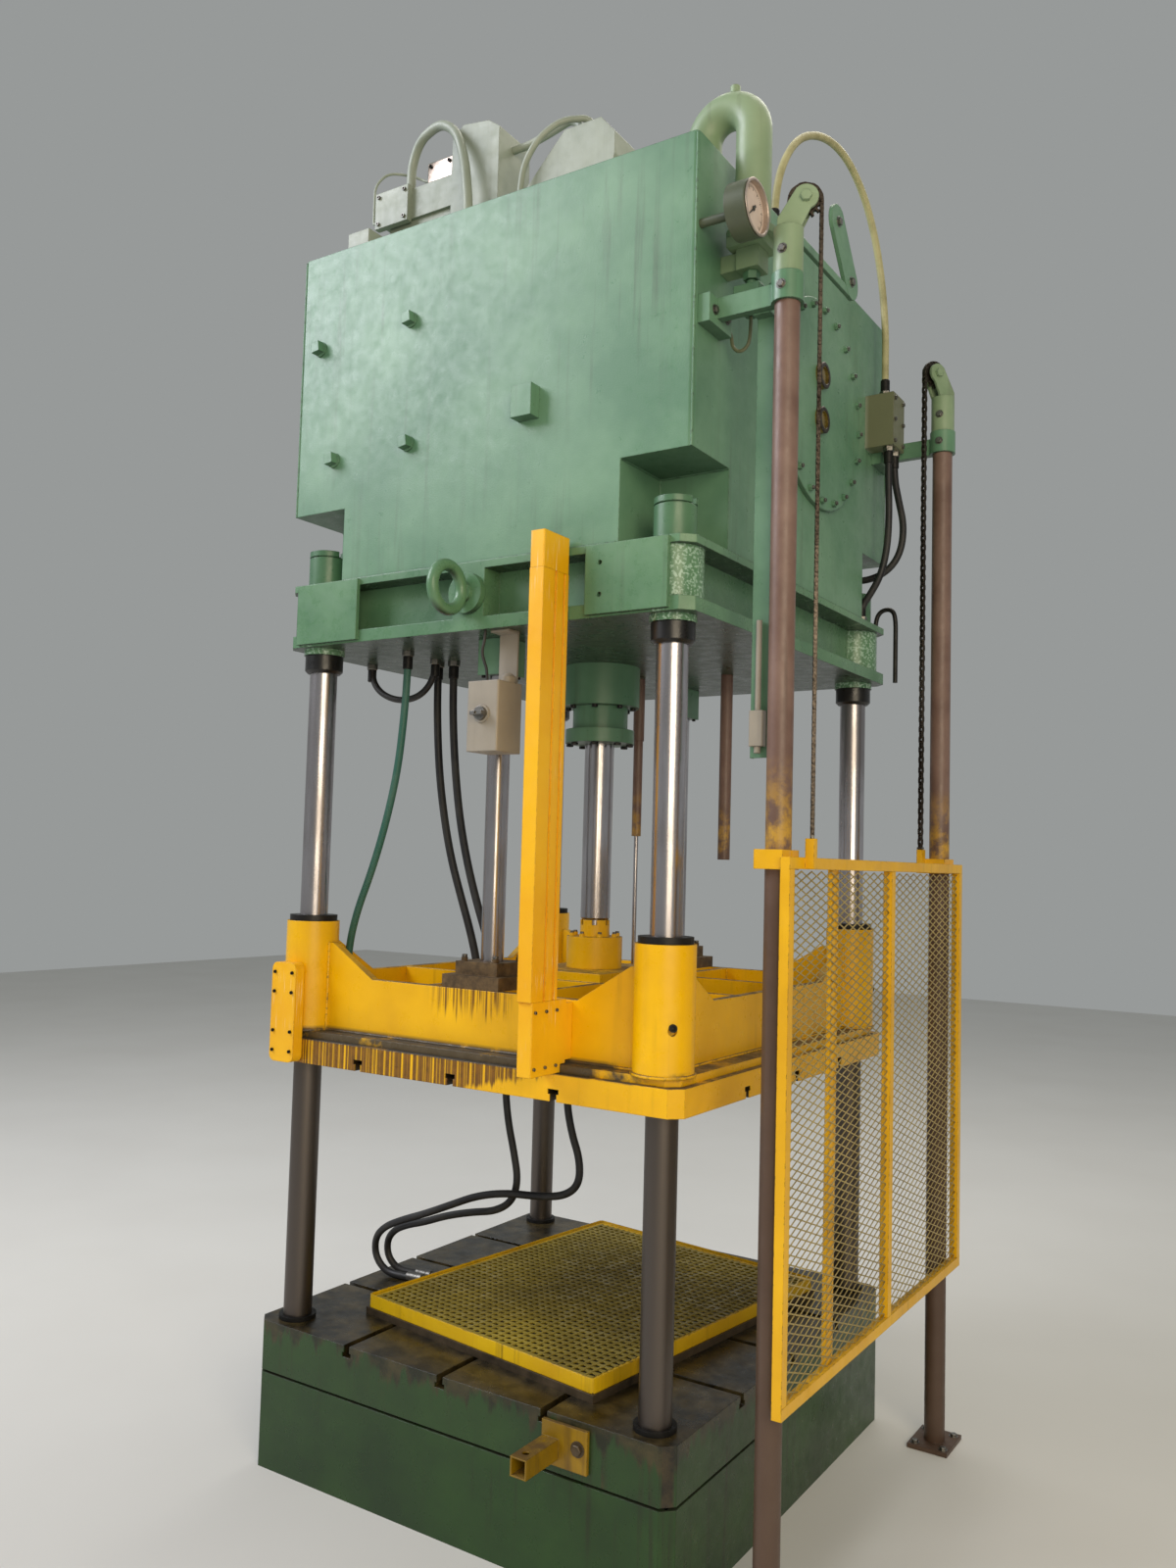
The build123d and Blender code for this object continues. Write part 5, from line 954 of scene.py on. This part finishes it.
# Second arm by the front wheel: a bar from the sleeve to a plate with rounded ends
bars("sleeve_bar", [[(0.898, -0.6, 3.185), (0.9095, -0.268, 3.207)]], "green enamel", "frame", soft=0.002)
t = np.linspace(0, 2 * pi, 28, endpoint=False)
stretch = np.where(np.cos(t) > 0, 1, -1) * 0.075
plate_u = stretch + 0.044 * np.cos(t)
plate_v = 0.044 * np.sin(t)
lean = np.array([0.0, 0.62, -0.78])
over = np.array([0.0, 0.78, 0.62])
face = plate_u[:, None] * lean + plate_v[:, None] * over
rings = np.stack([np.array([x, -0.325, 3.285]) + face for x in (0.9, 0.91)])
fit("arm_plate", rings, capped(2, 28), "green enamel", "frame")
bolts("arm_plate_bolts", [(0.91, -0.372, 3.344), (0.91, -0.279, 3.227)], rightward, 0.01, "dull zinc",
      "frame")

# Valve under the elbow: unions and a block on one upright line, and a union on the block's side
for name, low, high, radius, sides in (("upper", 3.168, 3.19, 0.021, 6), ("waist", 3.15, 3.168, 0.013, 18),
                                       ("neck", 3.096, 3.118, 0.013, 18), ("lower", 3.078, 3.096, 0.019, 6)):
    ring = [(0, low), (radius - 0.0015, low), (radius, low + 0.0015), (radius, high - 0.0015),
            (radius - 0.0015, high), (0, high)]
    turned(f"elbow_union_{name}", ring, [(0.743, -0.52, 0)], upward, "green enamel", "frame", sides=sides,
           sharp=25)
bars("elbow_valve_block",
     [[(0.708, -0.552, 3.118), (0.778, -0.488, 3.15)], [(0.7, -0.532, 3.124), (0.708, -0.508, 3.144)]],
     "green enamel", "frame", soft=0.003)
union = [(0, 0), (0.011, 0), (0.011, 0.018), (0.016, 0.019), (0.016, 0.034), (0.011, 0.035), (0.011, 0.05),
         (0, 0.05)]
turned("elbow_side_union", union, [(0.778, -0.52, 3.134)], rightward, "green enamel", "frame")

# Screws on the valves, and a bright plate on the coil
plate_screws = [(x, -0.52, z) for x in (-0.523, -0.421) for z in (3.654, 3.738)]
sockets("valve_plate_screws", plate_screws, frontward, 0.006, "dull zinc", "frame")
bars("coil_plate", [[(-0.398, -0.4418, 3.748), (-0.302, -0.4398, 3.848)]], "rim steel", "frame", soft=0.001)
coil_screws = [(x, -0.4418, z) for x, z in ((-0.386, 3.836), (-0.314, 3.836), (-0.386, 3.76))]
sockets("coil_screws", coil_screws, frontward, 0.0055, "black steel", "frame")
rear_screws = [(0.76, y, z) for y in (0.492, 0.566) for z in (3.076, 3.145, 3.214)]
sockets("rear_valve_screws", rear_screws, rightward, 0.0065, "dull zinc", "frame")

# Bent tubes, each square to Y: the valve's drain, and the return pipe at the crown's rear right corner
drain = [(0.743, 3.078), (0.743, 3.04), (0.738, 3.005), (0.715, 2.992), (0.694, 3.008), (0.69, 3.04),
         (0.684, 3.056), (0.667, 3.058)]
pipe = [(0.644, 2.508), (0.644, 2.54), (0.66, 2.57), (0.694, 2.575), (0.712, 2.55), (0.712, 2.45),
        (0.712, 2.33)]
for name, y, route, r, sides, finish in (("drain_tube", -0.52, drain, 0.0045, 10, "valve enamel"),
                                         ("return_pipe", 0.66, pipe, 0.0075, 12, "black steel")):
    bow = hang(name, [(x, y, z) for x, z in route])
    points = carried(bow, circle(r, sides), (0, 1, 0))
    fit(name, points, capped(len(bow), sides), finish, "frame", sharp=60)

# Plugs in the grease holes of the platen's bosses
for k, (x, y) in enumerate(columns):
    way = np.array([np.sign(x), np.sign(y), 0.0]) / 2 ** 0.5
    spot = np.array([x, y, 1.338]) + way * 0.073
    sockets(f"grease_plug_{k + 1}", [spot], way, 0.0098, "black steel", "platen")

# The floor, pale and a little mottled
ground = bpy.data.meshes.new("ground")
ground.from_pydata([(-14, -14, 0), (14, -14, 0), (14, 14, 0), (-14, 14, 0)], [], [(0, 1, 2, 3)])
tree, place = begin("pale floor")
speck = put(tree, "TexNoise", {"Vector": place, "Scale": 1.2, "Detail": 4.0})
tone = put(tree, "Mix", {0: speck, 6: paint("#d9d8d4"), 7: paint("#cfcdc8")}, data_type="RGBA")
close(tree, {"Base Color": tone, "Roughness": 0.75})
ground.materials.append(finishes["pale floor"])
floor = bpy.data.objects.new("ground", ground)
bpy.context.collection.objects.link(floor)

world = bpy.data.worlds.new("studio")
bpy.context.scene.world = world
world.use_nodes = True
sky = world.node_tree.nodes["Background"]
sky.inputs[0].default_value = paint("#dfe3e2")
sky.inputs[1].default_value = 0.42


def softbox(name, place, target, size, power, tone):
    """A square area light that looks at a target."""
    light = bpy.data.lights.new(name, "AREA")
    light.shape = "SQUARE"
    light.size = size
    light.energy = power
    light.color = paint(tone)[:3]
    lamp = bpy.data.objects.new(name, light)
    look = (Vector(target) - Vector(place)).normalized()
    lamp.rotation_euler = look.to_track_quat("-Z", "Y").to_euler()
    lamp.location = place
    bpy.context.collection.objects.link(lamp)


softbox("window", (-4.5, -4.0, 6.5), (0, 0, 2.2), 4.0, 430, "#f4f6ff")
softbox("shed", (4.5, -4.5, 3.2), (0.2, 0, 1.4), 3.5, 190, "#ffeed0")
softbox("roof", (0.5, 2.5, 7.5), (0, 0, 1.5), 4.0, 180, "#fffaf0")
